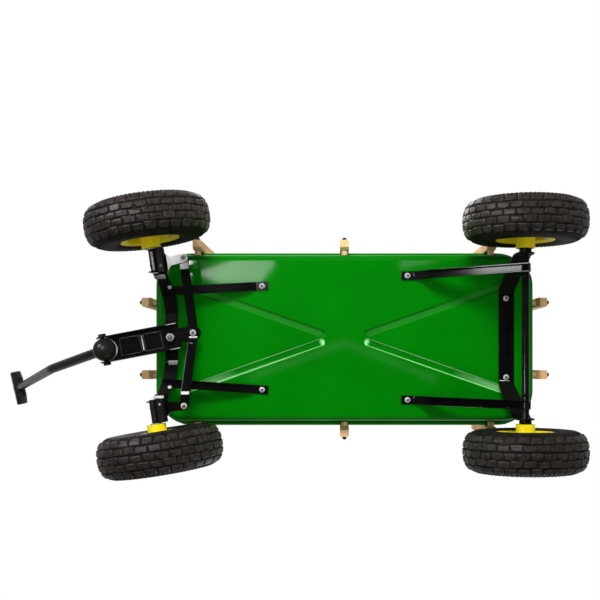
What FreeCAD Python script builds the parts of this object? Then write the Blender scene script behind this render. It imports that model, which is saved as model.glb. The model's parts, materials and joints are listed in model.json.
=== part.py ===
import FreeCAD, Part
import math
import os

from FreeCAD import Vector

# A garden stake wagon: a pressed steel tray on four air-filled tyres, with wooden racks,
# knuckle steering worked by the tongue, and a pull handle that swings at a ball.
# +X is forward, +Y is left, +Z is up, and the tyres stand on Z = 0. While the pieces are made,
# X = 0 is the middle of the tray. At the end all of them move so that X = 0 is the middle of
# the overall length. All lengths are millimetres and all angles are degrees.

# General
cut_overrun = 2.0
join_length = 0.000001
running_gap = 0.05
seat_gap = 0.3
half_turn = 180.0
quarter_turn = 90.0
hexagon_sides = 6

# Tyres
tyre_diameter = 264.0
tyre_width = 92.0
tyre_bead_radius = 51.0
tyre_bead_width = 68.0
tyre_crown_width = 54.0
tyre_shoulder_drop = 16.0
tyre_shoulder_width = 84.0
tyre_bulge_radius = 84.0

# Rims
rim_flange_radius = 61.5
rim_well_radius = 46.0
rim_well_width = 30.0
rim_sheet = 2.5
rim_disc_offset = 8.0
hub_radius = 20.0
hub_inboard_length = 57.0
hub_outboard_length = 34.0

# Axles
axle_radius = 8.0
axle_cap_radius = 15.0
axle_cap_height = 6.0
axle_cap_dome = 4.0
rear_axle_x = -379.4
rear_track = 483.3
axle_collar_radius = 13.0

# Tray
tray_length = 834.0
tray_width = 366.0
tray_underside = 240.0
tray_wall_height = 98.0
tray_flare = 5.0
tray_corner_radius = 66.0
tray_floor_bend = 11.0
tray_sheet = 2.0
bead_radius = 6.0

# Pressed ribs in the tray's floor
rib_inner_x = 52.0
rib_inner_y = 9.8
rib_outer_x = 352.0
rib_outer_y = 115.2
rib_width = 17.0
rib_crown_width = 9.5
rib_height = 3.6
rib_mouth_round = 3.5
rib_crown_round = 2.0

# Racks
stake_width = 20.0
stake_depth = 23.0
stake_foot_rise = 36.0
stake_length = 276.0
stake_edge_break = 2.0
stake_foot_bevel = 7.0
side_stake_pitch = 331.0
end_stake_pitch = 163.0
slat_thickness = 12.0
slat_height = 58.0
slat_edge_break = 2.0
lower_slat_rise = 94.0
slat_pitch = 108.0
side_slat_length = 756.0
end_slat_length = 280.0

# Rack bolts
rack_bolt_rise = 15.0
rack_bolt_radius = 3.0
rack_bolt_head_radius = 8.0
rack_bolt_head_height = 3.0
rack_nut_radius = 5.0
rack_nut_height = 5.0
rack_spacer_radius = 7.0

# Rear axle bracket
rear_bracket_x = -357.0
rear_bracket_web = 34.0
rear_bracket_sheet = 3.0
rear_bracket_flat = 99.0
rear_bracket_bend = 5.0
rear_collar_length = 8.65
rear_ear_top = 172.0
rear_ear_radius = 19.0

# Rear braces
brace_width = 19.0
brace_sheet = 2.5
brace_run_out_share = 3.0
brace_bend = 8.0
rear_brace_tab_x = -139.0
rear_brace_tab_y = 137.0
rear_brace_inset = 30.0
rear_brace_flange = 14.4
brace_tab_back = 14.0
brace_tab_front = 14.0
rear_brace_end = 13.0
rear_brace_seat = 7.0

# Front bracket
front_bracket_x = 381.0
front_bracket_web = 28.0
front_bracket_sheet = 4.0
front_bracket_flat = 55.0
front_bracket_bend = 6.0
front_leg_foot = 188.0
front_leg_taper = 30.0
front_foot_lead = 9.5
front_foot_width = 24.0
pivot_boss_radius = 19.0

# Kingpins and their yokes
kingpin_x = 401.0
kingpin_y = 152.0
kingpin_radius = 6.0
kingpin_nut_flats = 17.0
kingpin_nut_height = 7.0
yoke_setback = 25.5
yoke_lug_sheet = 5.0
yoke_lug_radius = 11.5
bearing_radius = 10.0
bearing_height = 30.0

# Front braces
front_brace_tab_x = 182.0
front_brace_tab_y = 114.4
front_brace_leg_y = 101.0
front_brace_flange = 5.0

# Steering knuckles
block_inboard = 19.0
block_outboard = 31.0
block_back = 24.0
block_front = 7.0
block_height = 20.0
block_round = 3.0
front_collar_length = 2.0
arm_reach = 62.0
arm_spread = 4.0
arm_width = 18.5
arm_root_width = 36.0
arm_root_length = 26.0
arm_root_fillet = 8.0
arm_sheet = 6.0
arm_bolt_radius = 4.0
arm_bolt_flats = 13.0
arm_bolt_head = 5.5
arm_slot_gap = 1.8

# Tongue
pivot_x = 377.4
pivot_bolt_radius = 6.0
pivot_bolt_flats = 18.0
pivot_bolt_head = 7.5
tongue_top = 206.0
tongue_sheet = 3.0
tongue_depth = 23.0
tongue_back = 20.0
ball_reach = 144.0
ball_height = 193.0
ball_radius = 25.0
ball_clearance = 0.6
ear_radius = 13.0
tail_reach = 50.4
tail_radius = 16.0
tail_bolt_radius = 4.0
ball_bolt_radius = 5.0
ball_bolt_flats = 15.0
ball_bolt_head = 6.0

# Tie rods
tie_rod_width = 20.0
tie_rod_sheet = 4.0
tie_rod_inner_flat = 24.0
tie_rod_outer_flat = 24.0
tie_rod_bend = 7.0

# Handle
handle_tube_radius = 11.0
handle_tube_wall = 1.5
handle_lower_length = 305.0
handle_upper_length = 574.0
handle_lower_rise = 52.0
handle_upper_rise = 64.1
handle_bend_radius = 110.0
handle_socket_start = 12.0
handle_lean = -2.0
grip_length = 97.0
grip_height = 36.0
grip_thickness = 30.0
grip_bevel_length = 22.0
grip_bevel_height = 19.0
grip_edge_radius = 5.0
grip_socket_depth = 24.0

# Steering as the wagon stands
tongue_turn = -10.8

# Places worked out from the sizes
stake_foot = tray_underside + stake_foot_rise
stake_top = stake_foot + stake_length
lower_slat_base = stake_foot + lower_slat_rise
upper_slat_base = lower_slat_base + slat_pitch
rack_bolt_height = stake_foot + rack_bolt_rise
wheel_radius = tyre_diameter / 2
axle_z = wheel_radius
rear_wheel_y = rear_track / 2
rear_ear_y = rear_wheel_y - hub_inboard_length - rear_collar_length - rear_bracket_sheet / 2
rear_brace_axle_y = rear_ear_y - rear_brace_inset
wheel_offset = block_outboard + front_collar_length + hub_inboard_length
arm_top = axle_z + axle_radius + seat_gap + arm_sheet
rod_outer_z = arm_top + seat_gap
yoke_low = arm_top + seat_gap
yoke_high = yoke_low + yoke_lug_sheet * 2 + bearing_height
bracket_top = tray_underside
tray_half_length = tray_length / 2
tray_half_width = tray_width / 2
bead_z = tray_underside + tray_wall_height
bead_reach = tray_flare - tray_sheet + bead_radius
rim_half_length = tray_half_length + bead_reach + bead_radius
rim_half_width = tray_half_width + bead_reach + bead_radius
tongue_inner_half = ball_radius + seat_gap
tongue_half_width = tongue_inner_half + tongue_sheet
web_underside = tongue_top - tongue_sheet
left_rod_inner_z = web_underside - seat_gap - tie_rod_sheet
right_rod_inner_z = left_rod_inner_z - seat_gap - tie_rod_sheet
ear_end = ball_reach + ear_radius


def turn(shape, centre, axis, angle):
    """The shape turned about an axis through a point."""
    turned = shape.copy()
    turned.rotate(centre, axis, angle)
    return turned


def top_plane(u, v):
    """A flat drawing laid in the floor plane."""
    return Vector(u, v, 0)


def side_plane(u, v):
    """A flat drawing seen from the side: along the wagon, and up."""
    return Vector(u, 0, v)


def front_plane(u, v):
    """A flat drawing seen from the front: across the wagon, and up."""
    return Vector(0, u, v)


def rounded_corner(before, corner, after, radius):
    """Start, middle and end of the arc that rounds a corner of a flat outline."""
    back = (before - corner).normalize()
    ahead = (after - corner).normalize()
    half_angle = back.getAngle(ahead) / 2
    setback = radius / math.tan(half_angle)
    inward = (back + ahead).normalize()
    middle = corner + inward * (radius / math.sin(half_angle) - radius)
    return corner + back * setback, middle, corner + ahead * setback


def outline_edges(points, radii, closed):
    """Lines through flat points, with an arc at each corner that has a radius."""
    count = len(points)
    arcs = []
    for index, here in enumerate(points):
        inner = closed or 0 < index < count - 1
        if inner and radii[index] > 0:
            arcs.append(rounded_corner(points[index - 1], here, points[(index + 1) % count], radii[index]))
        else:
            arcs.append((here, None, here))
    edges = []
    spans = count if closed else count - 1
    for index in range(count):
        start, middle, end = arcs[index]
        if middle is not None:
            edges.append(Part.Arc(start, middle, end).toShape())
        if index < spans:
            following = arcs[(index + 1) % count][0]
            if end.distanceToPoint(following) > join_length:
                edges.append(Part.LineSegment(end, following).toShape())
    return edges


def rounded_face(points, radii):
    """A flat face with rounded corners."""
    return Part.Face(Part.Wire(outline_edges(points, radii, True)))


def shifted_path(points, distance):
    """The points of an open flat path moved to its left, with mitred corners."""
    moved = []
    for index, here in enumerate(points):
        first = points[max(index - 1, 0)]
        last = points[min(index + 1, len(points) - 1)]
        into = (here - first) if index else (last - here)
        out = (last - here) if index < len(points) - 1 else into
        into = Vector(into).normalize()
        out = Vector(out).normalize()
        left_in = Vector(-into.y, into.x, 0)
        left_out = Vector(-out.y, out.x, 0)
        mitre = (left_in + left_out).normalize()
        moved.append(here + mitre * (distance / mitre.dot(left_in)))
    return moved


def bent_strip(points, sheet, bend, plane):
    """The edge-on face of a bent strip: its left face follows the points."""
    flat = [Vector(u, v, 0) for u, v in points]
    other = shifted_path(flat, -sheet)
    near_radii = [0.0] * len(flat)
    far_radii = [0.0] * len(flat)
    for index in range(1, len(flat) - 1):
        into = flat[index] - flat[index - 1]
        out = flat[index + 1] - flat[index]
        turns_left = into.x * out.y - into.y * out.x > 0
        near_radii[index] = bend if turns_left else bend + sheet
        far_radii[index] = bend + sheet if turns_left else bend
    corners = flat + other[::-1]
    radii = near_radii + far_radii[::-1]
    edges = outline_edges(corners, radii, True)
    return place_face(Part.Face(Part.Wire(edges)), plane)


def place_face(face, plane):
    """A face drawn on the floor plane moved to another drawing plane."""
    across = plane(1, 0)
    upward = plane(0, 1)
    normal = across.cross(upward)
    matrix = FreeCAD.Matrix(across.x, upward.x, normal.x, 0,
                            across.y, upward.y, normal.y, 0,
                            across.z, upward.z, normal.z, 0)
    return face.transformShape(matrix)


def slab(points, radii, plane, start, depth):
    """A flat outline given thickness, from start to start plus depth along the plane's normal."""
    face = place_face(rounded_face([Vector(u, v, 0) for u, v in points], radii), plane)
    normal = plane(1, 0).cross(plane(0, 1))
    face.translate(normal * start)
    return face.extrude(normal * depth)


def rod(radius, start, end):
    """A round bar between two points."""
    along = end - start
    return Part.makeCylinder(radius, along.Length, start, along)


def hexagon(flats, height, base, axis):
    """A bolt's six-sided head or nut, standing on its base point."""
    corner_radius = flats / 2 / math.cos(math.pi / hexagon_sides)
    corners = []
    for step in range(hexagon_sides):
        angle = math.radians(half_turn * 2 / hexagon_sides * step)
        corners.append(Vector(corner_radius * math.cos(angle), corner_radius * math.sin(angle), 0))
    head = Part.Face(Part.makePolygon(corners + corners[:1])).extrude(Vector(0, 0, height))
    head.Placement = FreeCAD.Placement(base, FreeCAD.Rotation(Vector(0, 0, 1), axis))
    return head


def stadium(start, end, radius):
    """A flat face round two points, with half-round ends."""
    along = (end - start).normalize()
    side = Vector(-along.y, along.x, 0) * radius
    edges = [
        Part.LineSegment(start + side, end + side).toShape(),
        Part.Arc(end + side, end + along * radius, end - side).toShape(),
        Part.LineSegment(end - side, start - side).toShape(),
        Part.Arc(start - side, start - along * radius, start + side).toShape(),
    ]
    return Part.Face(Part.Wire(edges))


def one_solid(shape):
    """The shape as plain solids, with seams between flush faces taken out."""
    return shape.removeSplitter()


def make_tray():
    """The pressed tray: one wall section run along the sides and round the corners."""
    radius = tray_corner_radius
    section_path = [(0, tray_underside), (radius, tray_underside), (radius + tray_flare, bead_z)]
    flat = [Vector(u, v, 0) for u, v in section_path]
    inner = shifted_path(flat, tray_sheet)
    outline = flat + inner[::-1]
    bends = [0.0, tray_floor_bend + tray_sheet, 0.0, 0.0, tray_floor_bend, 0.0]
    wall = Part.Face(Part.Wire(outline_edges(outline, bends, True)))
    bead_centre = Vector(radius + bead_reach, bead_z, 0)
    bead = Part.Face(Part.Wire(Part.makeCircle(bead_radius, bead_centre, Vector(0, 0, 1))))
    section = wall.fuse(bead).removeSplitter()
    core_x = tray_half_length - radius
    core_y = tray_half_width - radius
    pieces = []
    across_section = place_face(section, side_plane)
    for corner, (sign_x, sign_y) in enumerate([(1, 1), (-1, 1), (-1, -1), (1, -1)]):
        start_face = turn(across_section, Vector(0, 0, 0), Vector(0, 0, 1), quarter_turn * corner)
        centre = Vector(core_x * sign_x, core_y * sign_y, 0)
        start_face.translate(centre)
        pieces.append(start_face.revolve(centre, Vector(0, 0, 1), quarter_turn))
        run = -core_y * 2 * sign_y if corner % 2 == 0 else 0
        side_run = -core_x * 2 * sign_x if corner % 2 == 1 else 0
        pieces.append(start_face.extrude(Vector(side_run, run, 0)))
    floor = Part.makeBox(core_x * 2, core_y * 2, tray_sheet, Vector(-core_x, -core_y, tray_underside))
    tray = floor.multiFuse(pieces).removeSplitter()
    for sign_x in (1, -1):
        for sign_y in (1, -1):
            ridge, groove = floor_rib(sign_x, sign_y)
            tray = tray.fuse(ridge).cut(groove)
    for hole in rack_bolt_shanks():
        tray = tray.cut(hole)
    return one_solid(tray)


def rib_section(grow, base):
    """Half a rib's cross-section, grown by a sheet: from its middle out, and up from the underside."""
    slope = math.atan2(rib_height, (rib_width - rib_crown_width) / 2)
    shift = grow * math.tan(slope / 2)
    mouth = rib_width / 2 + shift
    crown = rib_crown_width / 2 + shift
    mouth_round = rib_mouth_round - grow
    lead = mouth + mouth_round * math.tan(slope / 2)
    points = [(0, base), (lead, base), (lead, grow), (mouth, grow), (crown, grow + rib_height), (0, grow + rib_height)]
    return points, [0.0, 0.0, 0.0, mouth_round, rib_crown_round + grow, 0.0]


def rib_form(points, rounds):
    """A straight rib from its half section, with half-round ends."""
    run_x = rib_outer_x - rib_inner_x
    run_y = rib_outer_y - rib_inner_y
    length = math.hypot(run_x, run_y)
    half = place_face(rounded_face([Vector(u, v, 0) for u, v in points], rounds), front_plane)
    origin = Vector(0, 0, 0)
    up = Vector(0, 0, 1)
    far_end = half.revolve(origin, up, -half_turn)
    far_end.translate(Vector(length, 0, 0))
    near_side = half.extrude(Vector(length, 0, 0))
    far_side = near_side.mirror(origin, Vector(0, 1, 0))
    form = near_side.multiFuse([far_side, half.revolve(origin, up, half_turn), far_end]).removeSplitter()
    form = turn(form, origin, up, math.degrees(math.atan2(run_y, run_x)))
    form.translate(Vector(rib_inner_x, rib_inner_y, tray_underside))
    return form


def floor_rib(sign_x, sign_y):
    """One pressed rib: the ridge in the tray and the flat-topped groove under it."""
    ridge = rib_form(*rib_section(tray_sheet, tray_sheet / 2))
    groove = rib_form(*rib_section(0.0, -cut_overrun))
    forms = []
    for form in (ridge, groove):
        if sign_x < 0:
            form = form.mirror(Vector(0, 0, 0), Vector(1, 0, 0))
        if sign_y < 0:
            form = form.mirror(Vector(0, 0, 0), Vector(0, 1, 0))
        forms.append(form)
    return forms


def stake_places():
    """Where the stakes stand: a side name, a point on the rim's outer edge, and the way out."""
    side_face = rim_half_width + seat_gap
    end_face = rim_half_length + seat_gap
    places = []
    for step in (-1, 0, 1):
        places.append(("left", Vector(side_stake_pitch * step, side_face, 0), quarter_turn))
        places.append(("right", Vector(side_stake_pitch * step, -side_face, 0), -quarter_turn))
    for step in (-1, 1):
        places.append(("front", Vector(end_face, end_stake_pitch * step / 2, 0), 0))
        places.append(("rear", Vector(-end_face, end_stake_pitch * step / 2, 0), half_turn))
    return places


def rack_bolt_shanks():
    """The holes that the rack bolts need in the tray's walls."""
    shanks = []
    for _, face_point, facing in stake_places():
        hole = Part.makeCylinder(rack_bolt_radius + running_gap, stake_depth * 3,
                                 Vector(-stake_depth * 2, 0, rack_bolt_height), Vector(1, 0, 0))
        hole = turn(hole, Vector(0, 0, 0), Vector(0, 0, 1), facing)
        hole.translate(face_point)
        shanks.append(hole)
    return shanks


def make_stake():
    """One wooden stake, its inner face on X = 0: broken edges and a bevelled foot."""
    half = stake_width / 2
    edge = stake_edge_break
    plan = [(0, -half), (stake_depth, -half), (stake_depth, half), (0, half)]
    corners = []
    for (x, y), (step_x, step_y) in zip(plan, [(1, 1), (-1, 1), (-1, -1), (1, -1)]):
        first = (x, y + edge * step_y)
        second = (x + edge * step_x, y)
        corners += [first, second] if step_x == step_y else [second, first]
    flat = [Vector(x, y, 0) for x, y in corners]
    stake = rounded_face(flat, [0.0] * len(flat))
    stake.translate(Vector(0, 0, stake_foot))
    stake = stake.extrude(Vector(0, 0, stake_top - stake_foot))
    bevel = stake_foot_bevel
    side = [(-cut_overrun, stake_foot + bevel + cut_overrun), (-cut_overrun, stake_foot - cut_overrun),
            (bevel + cut_overrun, stake_foot - cut_overrun)]
    wedge = slab(side, [0.0] * len(side), side_plane, -stake_width, stake_width * 2)
    hole = Part.makeCylinder(rack_bolt_radius + running_gap, stake_depth * 2,
                             Vector(-stake_depth / 2, 0, rack_bolt_height), Vector(1, 0, 0))
    return stake.cut(wedge).cut(hole)


def make_rack_bolt():
    """A coach bolt through wall, spacer and stake, with a domed nut outside."""
    wall_gap = wall_to_rim_edge() + seat_gap
    lean_gap = rack_bolt_head_radius * tray_flare / tray_wall_height
    head_base = -wall_gap - tray_sheet - lean_gap
    shank = rod(rack_bolt_radius, Vector(head_base, 0, 0), Vector(stake_depth + rack_nut_height / 2, 0, 0))
    inward = Vector(-1, 0, 0)
    head = Part.makeCone(rack_bolt_head_radius, rack_bolt_radius, rack_bolt_head_height,
                         Vector(head_base, 0, 0), inward)
    spacer = rod(rack_spacer_radius, Vector(-wall_gap + seat_gap + lean_gap, 0, 0), Vector(-seat_gap, 0, 0))
    nut_end = Vector(stake_depth + rack_nut_height, 0, 0)
    nut = rod(rack_nut_radius, Vector(stake_depth, 0, 0), nut_end)
    cap = Part.makeCone(rack_nut_radius, rack_bolt_radius, rack_bolt_radius, nut_end, Vector(1, 0, 0))
    bolt = shank.multiFuse([head, spacer, nut, cap])
    bolt.translate(Vector(0, 0, rack_bolt_height))
    return bolt


def wall_to_rim_edge():
    """How far the wall stands inside the rim's outer edge at the height of the rack bolts."""
    share_up = (rack_bolt_height - tray_underside) / tray_wall_height
    return bead_reach + bead_radius - tray_flare * share_up


def make_racks():
    """Stakes, slats and rack bolts, one set to each side of the tray."""
    stakes = {}
    bolts = []
    for side, face_point, facing in stake_places():
        for maker, keep in ((make_stake, stakes.setdefault(side, [])), (make_rack_bolt, bolts)):
            piece = turn(maker(), Vector(0, 0, 0), Vector(0, 0, 1), facing)
            piece.translate(face_point)
            keep.append(piece)
    nodes = {}
    for side, pieces in stakes.items():
        nodes["stakes_" + side] = Part.makeCompound(pieces)
    facings = {"left": quarter_turn, "right": -quarter_turn, "front": 0.0, "rear": half_turn}
    for side, facing in facings.items():
        lengthwise = side in ("left", "right")
        length = side_slat_length if lengthwise else end_slat_length
        reach = (rim_half_width if lengthwise else rim_half_length) + seat_gap
        slats = []
        for base in (lower_slat_base, upper_slat_base):
            half = length / 2
            plan = [(reach - slat_thickness, -half), (reach, -half), (reach, half), (reach - slat_thickness, half)]
            edge = [slat_edge_break] * len(plan)
            slat = slab(plan, edge, top_plane, base, slat_height)
            slats.append(turn(slat, Vector(0, 0, 0), Vector(0, 0, 1), facing))
        nodes["slats_" + side] = Part.makeCompound(slats)
    nodes["rack_bolts"] = Part.makeCompound(bolts)
    return nodes


def make_rear_bracket():
    """The stamped strip that hangs the rear axle: flat web, sloping legs, upright ears."""
    leg_top = rear_bracket_flat
    ear = rear_ear_y + rear_bracket_sheet / 2
    low = axle_z - rear_ear_radius
    path = [(-ear, low), (-ear, rear_ear_top), (-leg_top, bracket_top), (leg_top, bracket_top),
            (ear, rear_ear_top), (ear, low)]
    strip = bent_strip(path, rear_bracket_sheet, rear_bracket_bend, front_plane)
    half = rear_bracket_web / 2
    ear_x = rear_axle_x
    radius = rear_ear_radius
    back = min(rear_bracket_x - half, ear_x - radius) - cut_overrun
    front = max(rear_bracket_x + half, ear_x + radius) + cut_overrun
    strip.translate(Vector(back, 0, 0))
    strip = strip.extrude(Vector(front - back, 0, 0))
    side = [(rear_bracket_x + half, bracket_top + cut_overrun), (rear_bracket_x - half, bracket_top + cut_overrun),
            (rear_bracket_x - half, bracket_top - radius / 2), (ear_x - radius, rear_ear_top),
            (ear_x - radius, axle_z - radius), (ear_x + radius, axle_z - radius),
            (ear_x + radius, rear_ear_top), (rear_bracket_x + half, bracket_top - radius / 2)]
    rounds = [0.0, 0.0, radius, radius, radius - running_gap, radius - running_gap, radius, radius]
    keep = slab(side, rounds, side_plane, -rear_track / 2, rear_track)
    bracket = strip.common(keep)
    hole = rod(axle_radius + running_gap, Vector(ear_x, -rear_track, axle_z), Vector(ear_x, rear_track, axle_z))
    return one_solid(bracket.cut(hole))


def axle_cap(start, outward):
    """The pressed cap on an axle's end: a short drum with a domed face."""
    drum_end = start + outward * axle_cap_height
    drum = rod(axle_cap_radius, start, drum_end)
    dome_radius = (axle_cap_radius ** 2 + axle_cap_dome ** 2) / (2 * axle_cap_dome)
    dome = Part.makeSphere(dome_radius, drum_end + outward * (axle_cap_dome - dome_radius))
    keep = rod(axle_cap_radius, drum_end, drum_end + outward * axle_cap_dome)
    return drum.fuse(dome.common(keep))


def make_rear_axle():
    """The rear axle rod, with a collar inside each wheel and a cap outside."""
    hub_end = rear_wheel_y + hub_outboard_length + seat_gap
    rod_end = Vector(rear_axle_x, hub_end, axle_z)
    axle = rod(axle_radius, Vector(rear_axle_x, -hub_end, axle_z), rod_end)
    pieces = []
    for sign in (1, -1):
        outward = Vector(0, sign, 0)
        collar_start = Vector(rear_axle_x, 0, axle_z) + outward * (rear_ear_y + rear_bracket_sheet / 2 + seat_gap)
        collar_end = Vector(rear_axle_x, 0, axle_z) + outward * (rear_wheel_y - hub_inboard_length - seat_gap)
        pieces.append(rod(axle_collar_radius, collar_start, collar_end))
        pieces.append(axle_cap(Vector(rear_axle_x, hub_end * sign, axle_z), outward))
    return one_solid(axle.multiFuse(pieces))


def make_brace(tab, foot, flange, foot_end):
    """A channel strut from a bolted tab under the tray down to its foot point."""
    run = math.hypot(foot.x - tab.x, foot.y - tab.y)
    drop = bracket_top - foot.z
    slope = math.atan2(drop, run - brace_tab_front)
    end_x = run + foot_end * math.cos(slope)
    end_z = bracket_top - drop - foot_end * math.sin(slope)
    path = [(-brace_tab_back, bracket_top), (brace_tab_front, bracket_top), (end_x, end_z)]
    half = brace_width / 2
    web = bent_strip(path, brace_sheet, brace_bend, side_plane)
    web.translate(Vector(0, half, 0))
    web = web.extrude(Vector(0, -brace_width, 0))
    deep = [Vector(u, v, 0) for u, v in path]
    lower = shifted_path(deep, -(brace_sheet + flange))
    upper = shifted_path(deep, -brace_sheet / 2)
    flange_start = brace_tab_front + flange
    flange_run = flange * brace_run_out_share
    cheek = [(flange_start, upper[1].y - (flange_start - upper[1].x) * math.tan(slope)),
             (upper[2].x, upper[2].y), (lower[2].x, lower[2].y),
             (lower[1].x + flange_run, lower[1].y - flange_run * math.tan(slope))]
    pieces = []
    for start in (half, -half + brace_sheet):
        pieces.append(slab(cheek, [0.0] * len(cheek), side_plane, -start, brace_sheet))
    brace = web.multiFuse(pieces)
    angle = math.degrees(math.atan2(foot.y - tab.y, foot.x - tab.x))
    brace = turn(brace, Vector(0, 0, 0), Vector(0, 0, 1), angle)
    brace.translate(Vector(tab.x, tab.y, 0))
    return brace


def make_rear_braces():
    """The two struts from the tray's middle to the rear axle."""
    nodes = {}
    hole = rod(axle_radius + running_gap, Vector(rear_axle_x, -rear_track, axle_z),
               Vector(rear_axle_x, rear_track, axle_z))
    for name, sign in (("left", 1), ("right", -1)):
        tab = Vector(rear_brace_tab_x, rear_brace_tab_y * sign, bracket_top)
        foot = Vector(rear_axle_x, rear_brace_axle_y * sign, axle_z + rear_brace_seat)
        brace = make_brace(tab, foot, rear_brace_flange, rear_brace_end)
        nodes["rear_brace_" + name] = one_solid(brace.cut(hole))
    return nodes


def make_front_braces(bracket):
    """The two struts from the tray to the rear edges of the front bracket's legs."""
    nodes = {}
    leg_x = front_bracket_x - front_bracket_web / 2
    leg_z = front_leg_height(front_brace_leg_y)
    for name, sign in (("left", 1), ("right", -1)):
        tab = Vector(front_brace_tab_x, front_brace_tab_y * sign, bracket_top)
        foot = Vector(leg_x, front_brace_leg_y * sign, leg_z)
        brace = make_brace(tab, foot, front_brace_flange, front_bracket_web)
        nodes["front_brace_" + name] = one_solid(brace.cut(bracket))
        solids = sorted(nodes["front_brace_" + name].Solids, key=lambda solid: solid.BoundBox.XMin)
        nodes["front_brace_" + name] = solids[0]
    return nodes


def front_leg_height(across):
    """The height of the front bracket's sloping leg at a distance from the centre line."""
    leg_y = kingpin_y - yoke_setback
    share = (across - front_bracket_flat) / (leg_y - front_bracket_flat)
    return bracket_top - share * (bracket_top - front_leg_foot)


def make_front_bracket():
    """The stamped strip under the tray's front, with a kingpin bearing at each foot and the pivot's boss."""
    leg_y = kingpin_y - yoke_setback
    path = [(-leg_y, yoke_low), (-leg_y, front_leg_foot), (-front_bracket_flat, bracket_top),
            (front_bracket_flat, bracket_top), (leg_y, front_leg_foot), (leg_y, yoke_low)]
    strip = bent_strip(path, front_bracket_sheet, front_bracket_bend, front_plane)
    half = front_bracket_web / 2
    foot_x = front_bracket_x + front_foot_lead
    foot_half = front_foot_width / 2
    back = min(front_bracket_x - half, foot_x - foot_half) - cut_overrun
    front = max(front_bracket_x + half, foot_x + foot_half) + cut_overrun
    strip.translate(Vector(back, 0, 0))
    strip = strip.extrude(Vector(front - back, 0, 0))
    taper_top = front_leg_foot + front_leg_taper
    side = [(front_bracket_x + half, bracket_top + cut_overrun), (front_bracket_x - half, bracket_top + cut_overrun),
            (front_bracket_x - half, taper_top), (foot_x - foot_half, front_leg_foot),
            (foot_x - foot_half, yoke_low - cut_overrun), (foot_x + foot_half, yoke_low - cut_overrun),
            (foot_x + foot_half, front_leg_foot), (front_bracket_x + half, taper_top)]
    keep = slab(side, [0.0] * len(side), side_plane, -kingpin_y, kingpin_y * 2)
    pieces = []
    for sign in (1, -1):
        foot = Vector(foot_x, (leg_y - front_bracket_sheet / 2) * sign, 0)
        centre = Vector(kingpin_x, kingpin_y * sign, 0)
        inner_edge = Vector(foot_x, (leg_y - front_bracket_sheet) * sign, yoke_low)
        cutter = Part.makeBox(kingpin_x, kingpin_y, bracket_top)
        cutter_y = inner_edge.y - kingpin_y if sign > 0 else inner_edge.y
        cutter.translate(Vector(inner_edge.x - kingpin_x / 2, cutter_y, 0))
        for base in (yoke_low, yoke_high - yoke_lug_sheet):
            lug = stadium(foot, centre, yoke_lug_radius)
            lug.translate(Vector(0, 0, base))
            pieces.append(lug.extrude(Vector(0, 0, yoke_lug_sheet)).cut(cutter))
        pieces.append(rod(bearing_radius, centre + Vector(0, 0, yoke_low), centre + Vector(0, 0, yoke_high)))
    boss = rod(pivot_boss_radius, Vector(pivot_x, 0, tongue_top + seat_gap),
               Vector(pivot_x, 0, bracket_top - front_bracket_sheet / 2))
    bracket = strip.common(keep).multiFuse(pieces + [boss])
    for sign in (1, -1):
        bracket = bracket.cut(rod(kingpin_radius + running_gap, Vector(kingpin_x, kingpin_y * sign, 0),
                                  Vector(kingpin_x, kingpin_y * sign, bracket_top)))
    hole = rod(pivot_bolt_radius + running_gap, Vector(pivot_x, 0, tongue_top - tongue_depth),
               Vector(pivot_x, 0, bracket_top + cut_overrun))
    return one_solid(bracket.cut(hole))


def make_kingpin(sign):
    """The upright pin set in a knuckle's plate, which turns in the bracket's bearing under its nut."""
    place = Vector(kingpin_x, kingpin_y * sign, 0)
    up = Vector(0, 0, 1)
    nut_base = yoke_high + seat_gap
    shank = rod(kingpin_radius, place + up * (arm_top - arm_sheet), place + up * (nut_base + kingpin_nut_height))
    nut = hexagon(kingpin_nut_flats, kingpin_nut_height, place + up * nut_base, up)
    return one_solid(shank.fuse(nut))


def make_knuckle(sign):
    """A knuckle as it stands straight ahead: steering arm and the block that the spindle lies along."""
    base = Vector(kingpin_x, kingpin_y * sign, 0)
    centre = base + Vector(0, 0, axle_z)
    outward = Vector(0, sign, 0)
    top = arm_top - arm_sheet / 2
    low = arm_top - arm_sheet - block_height
    end = [(-block_back, top), (-block_back, low), (-block_front, low), (-block_front, top)]
    block = slab(end, [0.0, block_round, block_round, 0.0], side_plane, block_inboard * sign,
                 -(block_inboard + block_outboard) * sign)
    block.translate(base)
    arm_end = base + Vector(-arm_reach, arm_spread * sign, 0)
    knuckle = knuckle_arm(base, arm_end).fuse(block)
    pin_hole = rod(kingpin_radius + running_gap, base, base + Vector(0, 0, bracket_top))
    seat = rod(axle_radius + running_gap, centre - outward * block_outboard * 2, centre + outward * block_outboard * 2)
    arm_hole = rod(arm_bolt_radius + running_gap, arm_end, arm_end + Vector(0, 0, arm_top * 2))
    return one_solid(knuckle.cut(pin_hole).cut(seat).cut(arm_hole))


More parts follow.
